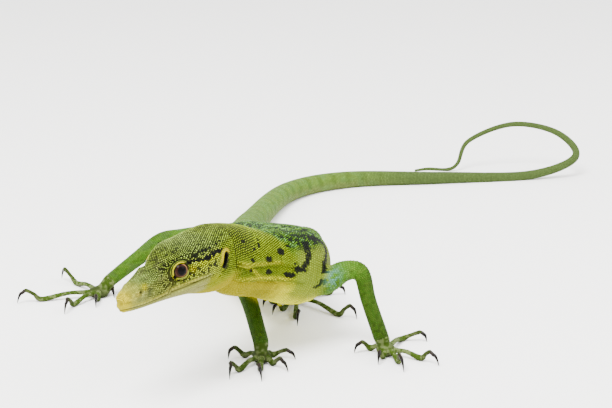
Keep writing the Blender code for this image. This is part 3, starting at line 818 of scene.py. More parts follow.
def build_skin():
    """One closed skin: head and body in rings, joined with the limbs, smoothed there and cut open."""
    blocks = (
        head_rings(HEAD_STEP, HEAD_THIN),
        body_rings(0.5, TRUNK_END, TRUNK_STEP, 20, 28),
        body_rings(TRUNK_END + 1.0, TAIL_THIN, TAIL_STEP, 10, 14),
        body_rings(TAIL_THIN + 1.0, BODY_LENGTH - 0.15, END_STEP, 5, 7),
    )
    points, faces = joined_rings(blocks, from_head(NOSE_TIP - (0.06, 0, 0)))
    points[:, 2] = np.maximum(points[:, 2], LOWEST)
    skin = mesh_object("skin", points, faces)
    limbs = limbs_skin(LIMB_VOXEL)
    limb_faces = [tuple(f.vertices) for f in limbs.data.polygons]
    trees = tree_of(points, faces), tree_of(points_of(limbs.data), limb_faces)
    boolean(skin, [limbs], "UNION")
    reworked(skin.data, bmesh.ops.triangulate)
    points = points_of(skin.data)
    weight = np.zeros(len(points))
    for i, p in enumerate(points):
        if LIMB_REGION[0] <= p[1] <= LIMB_REGION[1]:
            a, b = (tree.find_nearest(Vector(p), BLEND_REACH)[3] for tree in trees)
            if a is not None and b is not None:
                weight[i] = 0.6 * float(smooth(BLEND_REACH - max(a, b), 0, BLEND_REACH * 0.8))
    relax(skin.data, weight, 14)
    boolean(skin, cutters(), "DIFFERENCE")
    return skin


# Marks, and the painted shade and light among them
ALBEDO, SATURATION = 0.29, 1.22
CROWN, FOREHEAD = (0.262, 0.352, 0.092), (0.238, 0.318, 0.062)
SNOUT_TOP, SNOUT_SIDE, SNOUT_TIP = (0.32, 0.42, 0.12), (0.72, 0.76, 0.25), (1.25, 1.04, 0.14)
LOREAL, CHEEK = (0.325, 0.38, 0.095), (0.48, 0.56, 0.10)
LOREAL_BLOTCH, SNOUT_PATCH = (0.36, 0.40, 0.14), (0.10, 0.15, 0.07)
LIP, LIP_RIDGE, MUZZLE = (0.56, 0.58, 0.20), (0.64, 0.62, 0.14), (0.90, 0.86, 0.19)
# MOUTH_SHADE and CREASE_SHADE are painted shade in the mouth's seam and in the creases of the jaw.
MOUTH_SHADE, CREASE_SHADE = (0.10, 0.08, 0.02), (0.14, 0.15, 0.02)
CHIN, JAW, JAW_REAR = (0.66, 0.66, 0.26), (0.56, 0.60, 0.11), (0.52, 0.57, 0.004)
THROAT, THROAT_SPECK = (0.72, 0.645, 0.0), (0.42, 0.40, 0.01)
YELLOW, PALE_STREAK = (0.68, 0.58, 0.0), (0.52, 0.58, 0.03)
LID_YELLOW, LID_PALE = (1.15, 1.08, 0.0), (0.50, 0.55, 0.12)
# EAR_HOLE_SHADE and NOSTRIL_SHADE are painted shade inside the hollows of the ear and the nostril.
EAR_YELLOW, EAR_SHADE, EAR_HOLE_SHADE = (0.88, 0.76, 0.0), (0.03, 0.02, 0.02), (0.006, 0.005, 0.004)
NOSE_REAR, NOSE_FRONT, NOSTRIL_SHADE = (0.74, 0.66, 0.02), (0.72, 0.62, 0.14), (0.05, 0.03, 0.015)
NECK_CROWN, NECK_TOP = (0.27, 0.365, 0.07), (0.30, 0.40, 0.02)
# NECK_LOW_SHADE is the lower neck side's green darkened as painted shade, the band under the upper fold.
NECK_SIDE, NECK_LOW_SHADE = (0.252, 0.335, 0.012), (0.18, 0.25, 0.003)
# The fold ridges' pale yellow: partly their own yellow, partly a painted highlight on the ridge tops.
RIDGE_YELLOW_AND_HIGHLIGHT = (0.82, 0.82, 0.0)
BACK, BACK_PALE = (0.11, 0.23, 0.025), (0.24, 0.51, 0.165)
# BELLY is the pale belly's colour, made brighter as painted light on the underside that faces the floor.
FLANK, BELLY = (0.26, 0.36, 0.05), (1.45, 1.42, 0.20)
SHOULDER, TURQUOISE = (0.49, 0.61, 0.11), (0.20, 0.50, 0.38)
BLACK = (0.010, 0.012, 0.010)
TAIL, TAIL_DARK = (0.285, 0.455, 0.105), (0.13, 0.22, 0.04)
TAIL_UNDER, TAIL_FAR = (0.33, 0.43, 0.14), (0.17, 0.25, 0.085)
LIMB, LIMB_DARK, LIMB_PALE = (0.155, 0.345, 0.05), (0.085, 0.17, 0.02), (0.22, 0.39, 0.07)
HIND_LIMB = (0.16, 0.25, 0.10)
DIGIT, DIGIT_PALE = (0.10, 0.17, 0.03), (0.30, 0.38, 0.15)
DIGIT_END, DIGIT_UNDER = (0.07, 0.09, 0.03), (0.09, 0.085, 0.05)
# Marks of the neck, in the model's frame. A spot's last number is its size.
NECK_SPOTS = (
    (-33.2, -142.1, 47.5, 0.55), (-33.0, -143.5, 46.1, 0.80), (-25.1, -135.9, 41.4, 1.45),
    (-22.9, -132.4, 42.4, 0.75), (-34.6, -147.6, 41.4, 0.85), (-29.4, -141.6, 40.1, 1.20),
    (-35.3, -148.4, 38.2, 0.70), (-29.4, -141.9, 35.7, 1.10), (-23.2, -136.2, 33.0, 1.15),
    (-21.6, -135.0, 32.4, 1.15), (-40.4, -153.4, 38.8, 0.60), (-38.4, -151.0, 48.7, 0.60),
    (-34.3, -146.1, 45.0, 0.45),
)
COLLAR = (
    (-16.5, -125.7, 41.1), (-15.4, -127.2, 38.8), (-15.6, -128.6, 36.9), (-16.7, -130.3, 35.2),
    (-17.6, -131.5, 33.5), (-19.0, -132.9, 33.6), (-19.5, -133.0, 34.9),
)
COLLAR_LINE = (
    (-15.4, -119.5, 41.7), (-14.1, -117.1, 41.2), (-12.1, -114.2, 39.9), (-10.1, -112.3, 37.3),
    (-9.5, -115.4, 35.8), (-10.0, -120.4, 32.7), (-10.7, -122.4, 30.3),
)
COLLAR_DASH = ((-13.8, -125.6, 25.4), (-12.2, -124.2, 25.7), (-11.1, -123.7, 27.2))
# Marks of the head, in its own frame, on the left side.
STREAK = (
    (18.6, 8.0, 3.4), (17.4, 8.9, 3.6), (16.3, 9.5, 3.7), (13.9, 9.7, 3.4), (11.0, 9.8, 3.1),
    (9.3, 9.8, 3.1), (6.8, 9.7, 3.2), (4.7, 9.7, 3.2), (2.8, 9.6, 3.2),
)
UNDER_STREAK = ((17.3, 8.8, 1.5), (15.7, 9.7, 2.2), (11.9, 9.9, 1.9), (7.3, 9.9, 2.1), (5, 9.8, 1.9))
TEMPLE_BAND = ((17.0, 8.6, 5.4), (12.0, 9.1, 5.4), (7.0, 9.1, 5.2), (2.0, 8.9, 5.4))
MOUTH_CREASE = ((10.4, 9.5, -4.4), (8.3, 9.5, -4.6), (5.4, 9.5, -4.5), (4.2, 9.4, -4.0))
LORE_MARK = ((28.8, 5.6, 0.6), (26.8, 6.2, -0.1))
SNOUT_MARKS = (((33.8, 4.4, -1.0), (32.6, 4.8, 0.2)), 0.8), (((38.2, 3.4, -1.2), (36.6, 3.9, -1.6)), 0.7)
EYE_FRONT_MARK = ((24.3, 7.1, 1.4), (27.0, 6.3, 0.7))
MARK_REACH = 12.0


def flat_place(points):
    """Body places as millimetres along and up, alike on both sides."""
    run, rise, _ = body_place(np.array(points, float)[:, :3])
    return np.stack((run, rise * MARK_REACH), axis=1)


SPOTS_FLAT, SPOT_SIZES = flat_place(NECK_SPOTS), np.array(NECK_SPOTS)[:, 3]
SPOT_STRETCH = np.array((0.72, 1.12))
COLLAR_FLAT, LINE_FLAT, DASH_FLAT = flat_place(COLLAR), flat_place(COLLAR_LINE), flat_place(COLLAR_DASH)
DIAGONAL_FLAT = flat_place(FOLDS[2][0])


def layered(colour, *layers):
    """A colour with others mixed over it in turn, each given with its share."""
    for over, share in layers:
        colour = mix(colour, over, share)
    return colour


def wave(x, length):
    return 0.5 + 0.5 * np.sin(x * TURN / length)


def head_colour(p, q):
    """Colour and darkness between scales, for points p whose place in the head's frame is q."""
    s = to_left(q)
    x, z = s[:, 0], s[:, 2]
    top = np.interp(x, HEAD_SECTIONS[:, 0], HEAD_SECTIONS[:, 2])
    jaw = mouth_height(x)
    n1, n2, n3 = noise(p, 2.2, 3), noise(p, 0.95, 5), noise(p, 0.55, 7)
    side = 1 - smooth(z / top, 0.25, 0.75)
    back = smooth(-x, -8, -3)
    low = smooth(-z, -jaw - 0.4 + 3.0 * back, -jaw + 2.0 + 4.0 * back)
    lip = bell(z - jaw, 1.5) * smooth(x, 8, 12)
    ridge = bell(z - jaw - 0.95, 0.42) * smooth(x, 11.5, 17)
    flank = layered(CHEEK, (LOREAL, smooth(x, 21, 26)), (SNOUT_SIDE, smooth(x, 30, 37)))
    under = layered(
        JAW,
        (CHIN, smooth(x, 7, 13)),
        (JAW_REAR, smooth(-x, -13, -6)),
        (THROAT, smooth(-z, 8.4, 11.0) * smooth(-x, -18, -12)),
    )
    colour = layered(
        CROWN,
        (FOREHEAD, smooth(x, 16, 23)),
        (SNOUT_TOP, smooth(x, 25, 32)),
        (flank, side),
        (SNOUT_TIP, smooth(x + 0.3 * z, 39.0, 43)),
        (mix(NECK_CROWN, NECK_SIDE, side), smooth(-x, -7, -1)),
        (under, low * (1 - 0.5 * lip)),
        (LIP, 0.75 * lip),
        (LIP_RIDGE, 0.8 * ridge),
        (MUZZLE, 0.55 * smooth(x + 0.4 * z, 35.5, 39.5) * (1 - lip)),
        (SNOUT_TIP, 0.6 * smooth(x, 39.5, 43)),
    )
    gap = 0.075 + 0.38 * smooth(x, 28, 37) + 0.08 * side
    gap = np.clip(gap + 0.55 * low + 0.5 * lip + 0.4 * ridge, 0, 0.85)
    streak = near(s[:, ::2], np.array(STREAK)[:, ::2], 0.98) * smooth(s[:, 1], 5.5, 7.0)
    dark = smooth(streak + 1.3 * (n3 - 0.5), 0.48, 0.66) * smooth(streak, 0.12, 0.35)
    dark = np.maximum(dark, smooth(n3, 0.52, 0.60) * smooth(near(s, TEMPLE_BAND, 1.2), 0.3, 0.7))
    under_streak = near(s, UNDER_STREAK, 0.75)
    zone = smooth(x, 4.6, 6.5) * smooth(-x, -25.5, -22)
    zone = zone * smooth(z, jaw + 1.4, jaw + 2.2) * smooth(-z, -2.2, -1.2)
    dark = np.maximum(dark, 0.95 * smooth(n3 + 0.3 * (n2 - 0.5), 0.525, 0.60) * zone * (1 - under_streak))
    colour = mix(colour, PALE_STREAK, 0.8 * under_streak)
    crown = smooth(z / top, 0.5, 0.75) * smooth(-x, -31, -25)
    dark = np.maximum(dark, 0.65 * smooth(n3, 0.60, 0.70) * crown)
    colour = colour * (1 + 0.45 * crown * (n2 - 0.5) * 2)[:, None]
    snout = smooth(x, 22, 26) * smooth(-x, -37, -33) * (1 - lip) * (1 - low)
    dark = np.maximum(dark, 0.48 * smooth(n3 + 0.4 * (n1 - 0.5), 0.55, 0.67) * snout)
    colour = mix(colour, LOREAL_BLOTCH, 0.5 * smooth(n1, 0.5, 0.65) * snout)
    blotchy = smooth(x, 27, 31) * (1 - low) * (1 - lip)
    colour = colour * (1 - 0.30 * blotchy * smooth(n2, 0.45, 0.62))[:, None]
    dark = np.maximum(dark, 0.45 * near(s, LORE_MARK, 0.6))
    patches = np.maximum(*(near(s, line, width) for line, width in SNOUT_MARKS))
    colour = layered(colour, (SNOUT_PATCH, 0.5 * patches), (BLACK, dark))
    far, off, bearing = eye_angles(s)
    pinch = bell(wrapped(bearing + 0.27), 0.25)
    plain = np.degrees(off - lid_opening(bearing))
    over = plain - 6.0 * pinch
    upper = smooth(np.sin(bearing) + 0.55 * np.cos(bearing), -0.35, 0.25)
    lids = smooth(-over, -7.0, -4.3) * smooth(-plain, -11.5, -9.5) * smooth(-far, -4.9, -4.5)
    corner = smooth(-np.cos(bearing), 0.72, 0.92)
    outline = bell(over - 10.0, 2.4) * (far < 5.2) * upper
    front = near(s, EYE_FRONT_MARK, 0.62)
    nose = np.linalg.norm(s - NOSTRIL, axis=1)
    ear = line_distance(s, (EAR_TOP, EAR_LOW))
    ahead = smooth(x - np.interp(z, (EAR_LOW[2], EAR_TOP[2]), (EAR_LOW[0], EAR_TOP[0])), -0.8, 0.5)
    above = smooth(z, EAR_TOP[2] - 0.6, EAR_TOP[2] + 0.6)
    rim = smooth(-ear, -2.6, -2.0) * np.maximum(ahead * smooth(z, EAR_LOW[2] - 0.5, EAR_LOW[2] + 2), above)
    behind = smooth(-ear, -3.4, -2.2) * (1 - np.maximum(ahead, above)) * smooth(n3, 0.38, 0.5)
    # Painted shade along the mouth's seam, in the jaw's crease and in the crease behind the mouth's corner.
    mouth = bell(z - jaw, 0.22) * smooth(x, 9.2, 11)
    crease_shade = np.maximum(near(s, JAW_CREASE, 0.30), 0.8 * near(s, MOUTH_CREASE, 0.32))
    colour = layered(
        colour,
        (mix(LID_PALE, LID_YELLOW, upper), lids),
        (BLACK, 0.9 * lids * corner),
        (BLACK, 0.85 * outline * smooth(n3, 0.30, 0.45)),
        (YELLOW, 0.7 * spot(s, (16.6, 8.8, 1.4), 0.9)),
        (BLACK, smooth(pinch, 0.25, 0.5) * smooth(-over, -1.0, 0.5) * (far < 6.5)),
        (BLACK, 0.9 * smooth(front + 0.4 * (n3 - 0.5), 0.35, 0.6)),
        (NOSE_REAR, 0.85 * spot(s, (35.0, 3.9, 2.0), 1.1)),
        (NOSE_FRONT, 0.7 * spot(s, (37.9, 3.5, 0.7), 0.8)),
        # Painted shade inside the nostril's hollow.
        (NOSTRIL_SHADE, smooth(-nose, -0.66, -0.42)),
        (EAR_YELLOW, rim),
        (EAR_SHADE, 0.85 * behind),
        # Painted shade inside the ear's hollow.
        (EAR_HOLE_SHADE, smooth(-ear, -1.45, -1.25)),
        # Painted shade in the mouth's seam and in the creases.
        (MOUTH_SHADE, 0.9 * mouth),
        (CREASE_SHADE, 0.7 * crease_shade),
    )
    return colour, np.clip(gap + 0.7 * rim + 0.6 * lids, 0, 0.9)


def body_colour(p, run, rise):
    """Colour and darkness between scales along the neck, trunk and tail."""
    n1, n2, n3 = noise(p, 2.6, 11), noise(p, 1.25, 13), noise(p, 0.7, 17)
    flat = np.stack((run, rise * MARK_REACH), axis=1)
    turn = rise / (math.pi / 2)
    top = smooth(turn, 0.30, 0.62)
    # The lower neck side takes painted shade: the darker band under the upper fold.
    neck = mix(NECK_LOW_SHADE, NECK_SIDE, smooth(turn + 0.12 * (n1 - 0.5), -0.35, 0.15))
    neck = mix(neck, NECK_TOP, top)
    gap = 0.52 - 0.44 * top
    high_edge, edge = (np.interp(run, *FOLD_TABLES[number][:2]) for number in (0, 1))
    over_fold = smooth(rise - high_edge, 0.05, 0.25) * smooth(-run, -40, -24)
    gap = gap - over_fold * (1 - top) * (0.24 + 0.20 * smooth(-run, -22, -10))
    below = smooth(edge - rise, 0.02, 0.12)
    throat = mix(THROAT, BELLY, smooth(run, 22, 40))
    striped = smooth(run, 13, 18) * smooth(-run, -34, -28)
    throat = throat * (1 - 0.22 * striped * wave(run, 1.05))[:, None]
    throat = mix(throat, THROAT_SPECK, 0.30 * smooth(n1, 0.5, 0.66))
    # Painted light: the throat and chest lightened further back, where they face the floor.
    throat = throat * (1 + 0.30 * smooth(run, 19, 30))[:, None]
    neck = layered(
        neck,
        (throat, below),
        # Pale yellow lines on the fold ridges: their own colour with a painted highlight on their tops.
        (RIDGE_YELLOW_AND_HIGHLIGHT, 0.85 * (bell(rise - edge - 0.04, 0.055) * smooth(-run, -36, -28))),
        (RIDGE_YELLOW_AND_HIGHLIGHT, 0.6 * (bell(rise - high_edge, 0.05) * smooth(-run, -27, -21))),
        (RIDGE_YELLOW_AND_HIGHLIGHT, 0.7 * near(flat, DIAGONAL_FLAT, 0.6)),
    )
    gap = gap + 0.25 * below
    trunk = layered(
        FLANK,
        (BACK, smooth(turn + 0.3 * (n1 - 0.5), 0.0, 0.5)),
        (BACK_PALE, smooth(n3, 0.52, 0.62) * (0.30 + 0.60 * top)),
        (BELLY, smooth(-turn, 0.15, 0.55)),
    )
    border = np.interp(turn, (0.25, 0.4, 0.55, 0.75, 0.9, 1.0), (33, 29, 27, 21, 16, 12))
    to_trunk = smooth(run + 4.0 * (n1 - 0.5) - border, -3.5, 3.0)
    colour = mix(neck, trunk, to_trunk)
    gap = gap * (1 - to_trunk) + to_trunk * (0.40 - 0.30 * top)
    shoulder = smooth(run + 3.0 * (n1 - 0.5), 30, 35) * smooth(-run, -56, -46)
    shoulder = shoulder * smooth(-turn, -0.50, -0.30) * smooth(turn, -0.7, -0.4)
    colour = mix(colour, SHOULDER, 0.8 * shoulder)
    gap = gap + (0.80 - 0.20 * smooth(turn, -0.15, 0.2) - gap) * shoulder
    ribs = 0.5 + 0.5 * np.sin(run * TURN / 1.9 + 2.0 * n1)
    colour = colour * (1 - 0.16 * ribs * shoulder)[:, None]
    near_top = (1 - turn) * (math.pi / 2)
    phase = ((run - 5.5 * near_top) / 8.6) % 1.0
    chevron = bell(phase - 0.5, 0.13 + 0.05 * (n1 - 0.5))
    chevron = chevron * smooth(n2 + 0.35 * n1, 0.42, 0.60) * smooth(turn, -0.05, 0.25) * smooth(run, 50, 60)
    chevron = chevron * smooth(-run, -150, -112)
    inward = smooth(run - border, 12, 28)
    mottle = smooth(n2 + (1.1 - 0.75 * inward) * (n3 - 0.5), 0.56 - 0.11 * inward, 0.62 - 0.12 * inward)
    mottle = mottle * smooth(turn, 0.25, 0.50) * smooth(run - border, 0, 3) * smooth(-run, -150, -120)
    tail = mix(TAIL_UNDER, TAIL, smooth(turn, -0.3, 0.3))
    tail = tail * (1 - 0.30 * smooth(-run, -215, -175))[:, None]
    bands = 0.45 * smooth(wave(run + 1.5 * n1, 9.5), 0.62, 0.9) * smooth(turn, -0.35, 0.1)
    tail = layered(
        tail,
        (BACK_PALE, 0.3 * smooth(n1, 0.45, 0.7)),
        (TAIL_DARK, bands),
        (TAIL_FAR, smooth(run, 300, 360)),
    )
    to_tail = smooth(run, 112, 140)
    colour = mix(colour, tail, to_tail)
    gap = gap * (1 - to_tail) + 0.5 * to_tail
    pattern = np.clip(np.maximum(0.93 * chevron, 0.93 * mottle), 0, 0.95) * (1 - to_tail)
    away = np.sqrt((((flat[:, None] - SPOTS_FLAT[None]) * SPOT_STRETCH) ** 2).sum(-1)) / SPOT_SIZES[None]
    marks = smooth(-(away.min(1) + 0.3 * (n3 - 0.5)), -1.15, -0.90)
    for line, ragged, outer, inner in (
        (COLLAR_FLAT, 2.4, -1.35, -0.9), (LINE_FLAT, 0.5, -1.0, -0.7), (DASH_FLAT, 0.5, -0.62, -0.35),
    ):
        mark = smooth(-(line_distance(flat, line) + ragged * (n3 - 0.5)), outer, inner)
        marks = np.maximum(marks, mark)
    return layered(colour, (BLACK, pattern), (BLACK, 0.98 * (marks * (run < 60)))), gap


TUBE_CODES = {"limb": 0.0, "palm": 1.0, "digit": 1.0}
HIND_CODE = 2.0


@functools.cache
def tube_table():
    """Points along all limbs and digits: place, radius, kind and share of the length."""
    tables = []
    for kind, name, line, _, _ in TUBES:
        count = max(2, int(run_of(line[:, :3])[-1] / 0.5))
        rows = rows_at(np.linspace(0, len(line) - 1, count), np.arange(len(line)), line)
        code = TUBE_CODES[kind] + (HIND_CODE if name.startswith("hind") else 0.0)
        tables.append(np.column_stack((rows, np.full(count, code), np.linspace(0, 1, count))))
    table = np.vstack(tables)
    return table[:, :3], table[:, 3], table[:, 4], table[:, 5]


def limb_place(p):
    """Depth in the nearest limb, whether a foot, whether a hind one, share of its length, upness."""
    points, radii, kinds, shares = tube_table()
    found = np.empty((5, len(p)))
    for i in range(0, len(p), CHUNK):
        part = p[i : i + CHUNK]
        far = np.sqrt(((part[:, None] - points[None]) ** 2).sum(-1)) / radii[None]
        at = far.argmin(1)
        kind = kinds[at]
        upness = (part - points[at])[:, 2] / radii[at]
        depth = far[np.arange(len(part)), at]
        found[:, i : i + CHUNK] = depth, kind % 2, kind >= 2, shares[at], upness
    return found


def limb_colour(p, foot, hind, share, upness):
    n1, n2, n3 = noise(p, 2.4, 23), noise(p, 1.0, 29), noise(p, 0.8, 31)
    front = 1 - hind
    colour = layered(
        LIMB,
        (LIMB_PALE, 0.85 * smooth(n3, 0.46, 0.62) * (1 - 0.3 * share)),
        (LIMB_DARK, 0.55 * smooth(n2, 0.6, 0.75) + 0.25 * smooth(share, 0.75, 1.0)),
        (mix(DIGIT, DIGIT_PALE, smooth(n2, 0.5, 0.62)), foot),
        (DIGIT_END, 0.7 * foot * smooth(share, 0.6, 0.95)),
        (DIGIT_UNDER, 0.8 * foot * smooth(-upness, 0.2, 0.8)),
        (TURQUOISE, 0.9 * spot(p, (-7.6, -122.3, 28.3), 3.9) * smooth(n3, 0.25, 0.5)),
        (HIND_LIMB, 0.35 * hind * smooth(n1, 0.35, 0.6) * (1 - foot)),
    )
    # Painted shade: lighter near the body and darker toward the limbs' lower ends, most on the front limbs
    # under the neck; the front right limb and its foot darker still, as the body's shadow.
    painted_shade = 1.12 - (0.42 * front + 0.22) * smooth(share, 0.35, 0.6) * (1 - foot)
    shadowed_front_right = front * smooth(-p[:, 0], 12, 20)
    painted_shade = painted_shade * (1 - 0.10 * shadowed_front_right) * (1 - 0.25 * shadowed_front_right * foot)
    return colour * painted_shade[:, None], 0.68 + 0.04 * foot


def blend(colour, gap, share, colour_of, *values):
    """Mixes another part's colours into colour and gap, where its share is above 0."""
    some = share > 0
    if some.any():
        new, new_gap = colour_of(*(value[some] for value in values))
        colour[some] = mix(colour[some], new, share[some])
        gap[some] = gap[some] * (1 - share[some]) + new_gap * share[some]


def colours_at(p):
    """Colours of scales at points of the skin and how dark the skin between them is."""
    q = to_head(p)
    run, rise, _ = body_place(p)
    colour, gap = body_colour(p, run, rise)
    on_head = (q[:, 0] > -14) * (np.abs(q[:, 1]) < 13) * (q[:, 2] > -19)
    blend(colour, gap, smooth(-run, -5.0, 2.0) * on_head, head_colour, p, q)
    at = along_curve(STATIONS, np.interp(run, FINE_RUN, FINE_PLACES))
    d = np.linalg.norm(p - at[:, :3], axis=1) / np.maximum(at[:, 3], at[:, 4])
    zone = (p[:, 1] > -160) & (p[:, 1] < -20)
    depth, foot, hind, share, upness = limb_place(p)
    limb = smooth(d, 0.98, 1.25) * smooth(-depth, -2.0, -1.45) * zone
    clear = ((q[:, 0] < -6) | (p[:, 2] < 12)) * (d > 1.15)
    limb = np.where(foot > 0, smooth(-depth, -2.2, -1.6) * clear, limb)
    blend(colour, gap, limb, limb_colour, p, foot, hind, share, upness)
    tone = colour.mean(axis=1, keepdims=True)
    colour = tone + (colour - tone) * SATURATION
    return np.clip(colour * ALBEDO, 0.0015, 1), gap


# Scales
SIDES = 6
SCALE_POINTS = 2 * SIDES + 1
HEX = np.linspace(0, TURN, SIDES, endpoint=False) + math.pi / 6
SUNK = 0.10
UNDER_FACES = 4
PATCH = 0.0014
TINT = np.concatenate((np.full(SIDES, 0.42), np.full(SIDES, 0.92), (1.10,)))
ROW_PITCH = 0.86
BEAD_SHRINK, BEAD_GAIN = np.array((0.42, 0.24)), 1.25
MOST_IN_PIECE = 8800


def scale_template():
    """A low dome: points as along, across and up shares, and its faces with its under side first."""
    base = np.stack((np.cos(HEX), np.sin(HEX), np.zeros(SIDES)), axis=1)
    upper = np.stack((0.74 * np.cos(HEX), 0.74 * np.sin(HEX), np.full(SIDES, 0.72)), axis=1)
    faces = [(0, k + 1, k) for k in range(1, SIDES - 1)]
    for k in range(SIDES):
        n = (k + 1) % SIDES
        faces += [(k, n, SIDES + n), (k, SIDES + n, SIDES + k)]
    faces += [(SIDES + k, SIDES + (k + 1) % SIDES, 2 * SIDES) for k in range(SIDES)]
    return np.vstack((base, upper, ((-0.06, 0, 1.0),))), np.array(faces)


TEMPLATE, TEMPLATE_FACES = scale_template()


def flattened(along, normals):
    """Directions laid into the surface."""
    return unit(along - normals * (along * normals).sum(1)[:, None])


def snapped(tree, roots, along, reach):
    """Roots moved on to the skin, its normals there, and which of them found it near."""
    places, normals, kept = [], [], []
    for i, root in enumerate(roots):
        place, normal, _, gap = tree.find_nearest(Vector(root))
        if place is not None and gap <= reach:
            places.append(place)
            normals.append(normal)
            kept.append(i)
    kept = np.array(kept, int)
    places, normals = np.array(places).reshape(-1, 3), np.array(normals).reshape(-1, 3)
    return places, normals, flattened(along[kept], normals), kept


def ring_scales(section, size_at, stretch_at, rows):
    """Roots on staggered rows round sections, with directions, sizes and places on the unwrap."""
    made = []
    count = 0
    for k, t in enumerate(rows):
        ring, ahead = section(t), section(t + 0.4)
        closed, closed_ahead = np.vstack((ring, ring[:1])), np.vstack((ahead, ahead[:1]))
        run, run_ahead = run_of(closed), run_of(closed_ahead)
        wanted = run[-1] / size_at(t)
        if abs(wanted - count) > 3:
            count = max(6, int(round(wanted / 2) * 2))
        at = (np.arange(count) + 0.5 * (k % 2)) / count * run[-1]
        at = at + RNG.uniform(-0.05, 0.05, count) * run[-1] / count
        place = rows_at(at, run, closed)
        direction = unit(rows_at(at / run[-1] * run_ahead[-1], run_ahead, closed_ahead) - place)
        place = place + direction * RNG.uniform(-0.06, 0.06, (count, 1)) * size_at(t)
        size = np.tile((size_at(t) * stretch_at(t), run[-1] / count), (count, 1))
        size = size * RNG.uniform(0.90, 1.04, (count, 1))
        chart = np.stack((np.full(count, float(k)), at / run[-1]), axis=1)
        made.append((place, direction, size, chart))
    roots, along, sizes, charts = (np.concatenate(column) for column in zip(*made))
    charts[:, 0] /= max(charts[:, 0].max(), 1)
    return roots, along, sizes, charts


def head_size(x):
    return float(np.interp(x, (-4, 8, 20, 30, 38, 43.5), (0.82, 0.80, 0.76, 0.66, 0.56, 0.47)))


def head_stretch(_):
    return 1.0


def body_size(run):
    sizes = (0.84, 0.86, 0.95, 1.0, 0.95, 0.86, 0.60, 0.45)
    return float(np.interp(run, (0, 25, 60, 130, 180, 260, 420, 600), sizes))


def body_stretch(run):
    return float(np.interp(run, (TRUNK_END - 15, TRUNK_END + 20), (1.05, 1.25)))


def head_scales(tree):
    rows, x = [], 43.2
    while x > HEAD_REAR_X + 0.25:
        rows.append(x)
        x -= head_size(x) * ROW_PITCH

    def section(x):
        return from_head(head_section(min(max(x, HEAD_REAR_X), 43.4), 2))

    roots, along, sizes, charts = ring_scales(section, head_size, head_stretch, rows)
    roots, normals, along, kept = snapped(tree, roots, -along, 2.6)
    s = to_left(to_head(roots))
    x, over_jaw = s[:, 0], s[:, 2] - mouth_height(s[:, 0])
    far, off, bearing = eye_angles(s)
    keep = ~((off - lid_opening(bearing) < math.radians(19.5)) & (far < 5.2))
    keep &= np.linalg.norm(s - NOSTRIL, axis=1) > 1.0
    keep &= line_distance(s, (EAR_TOP, EAR_LOW)) > 1.15
    keep &= ~((x > 10.5) & (over_jaw < 1.65) & (over_jaw > -1.55))
    keep &= ~((x > 41.5) & (np.abs(over_jaw) < 1.0))
    keep &= ~((x > 8.8) & (x <= 10.5) & (np.abs(over_jaw) < 0.35))
    height = 0.20 * np.interp(x[keep], (20, 34), (1.0, 0.62))
    size, chart = sizes[kept][keep] * (0.56, 0.50), charts[kept][keep] * (0.94, 0.60) + (0.02, 0.02)
    coat = [(roots[keep], normals[keep], along[keep], size, height, chart)]
    for side in (1, -1):
        turned = np.array((1.0, side, 1.0))
        for row_maker in (lips, lids, ear_rim, brow_plates):
            row_maker(coat, tree, turned)
    return coat


def add_row(coat, found, size, height, count, level):
    """Adds a row of scales to a coat, unwrapped as one level strip."""
    roots, normals, along, kept = found
    chart = np.stack((kept / count * 0.9 + 0.03, np.full(len(kept), level)), axis=1)
    coat.append((roots, normals, along, size, np.full(len(kept), height), chart))


def lip_line(offset, spacing):
    """Points along the mouth's line, at a height from it, at even spacing from corner to front."""
    line = []
    for x in np.linspace(10.2, 43.0, 400):
        wide, top, low = head_station(x)
        z = mouth_height(x) + offset
        power, limit = (CROWN_POWER, top) if z > 0 else (THROAT_POWER, low)
        line.append((x, wide * (1 - min(abs(z) / limit, 0.995) ** power) ** (1 / power), z))
    line = np.array(line)
    run = run_of(line)
    return rows_at(np.arange(spacing / 2, run[-1], spacing), run, line)


def lips(coat, tree, turned):
    long = 1.25
    for offset, tall, height in ((0.92, 1.20, 0.16), (-0.86, 1.10, 0.15)):
        line = lip_line(offset, long)
        along = unit(np.gradient(line, axis=0) * turned) @ AXES
        found = snapped(tree, from_head(line * turned), -along, 1.6)
        kept = found[-1]
        taper = np.interp(line[kept][:, 0], (10, 40, 43), (0.95, 0.85, 0.6))
        size = np.stack((np.full(len(kept), long * 0.52), tall * 0.50 * taper), axis=1)
        level = 0.66 + 0.02 * (offset > 0) + 0.04 * (turned[1] > 0)
        add_row(coat, found, size, height, len(line), level)


# Rows of scales on the lids: degrees beyond the opening, count, width and height.
LID_ROWS = ((3.5, 44, 0.22, 0.18), (9.0, 48, 0.24, 0.21), (14.5, 50, 0.26, 0.23), (20.0, 50, 0.28, 0.26))


def lids(coat, tree, turned):
    for row, (over, count, wide, tall) in enumerate(LID_ROWS):
        turns = (np.arange(count) + 0.5 * (row % 2)) / count * TURN - math.pi
        off = lid_opening(turns) + math.radians(over)
        around = round_the_gaze(turns + LID_TILT)
        rays = np.cos(off)[:, None] * GAZE + np.sin(off)[:, None] * around
        starts, ways = from_head((EYE_CENTRE + rays * 9.0) * turned), -(rays * turned) @ AXES
        hits = [tree.ray_cast(Vector(a), Vector(b), 8.0)[0] for a, b in zip(starts, ways)]
        there = np.array([hit is not None for hit in hits])
        points = np.array([tuple(hit) for hit in hits if hit is not None])
        along = unit(np.cross(rays, around) * turned) @ AXES
        found = snapped(tree, points, along[there], 0.3)
        kept = found[-1]
        if len(kept):
            size = np.tile((wide, tall), (len(kept), 1)) * RNG.uniform(0.9, 1.05, (len(kept), 1))
            add_row(coat, found, size, 0.13, count, 0.76 + 0.010 * row + 0.05 * (turned[1] > 0))


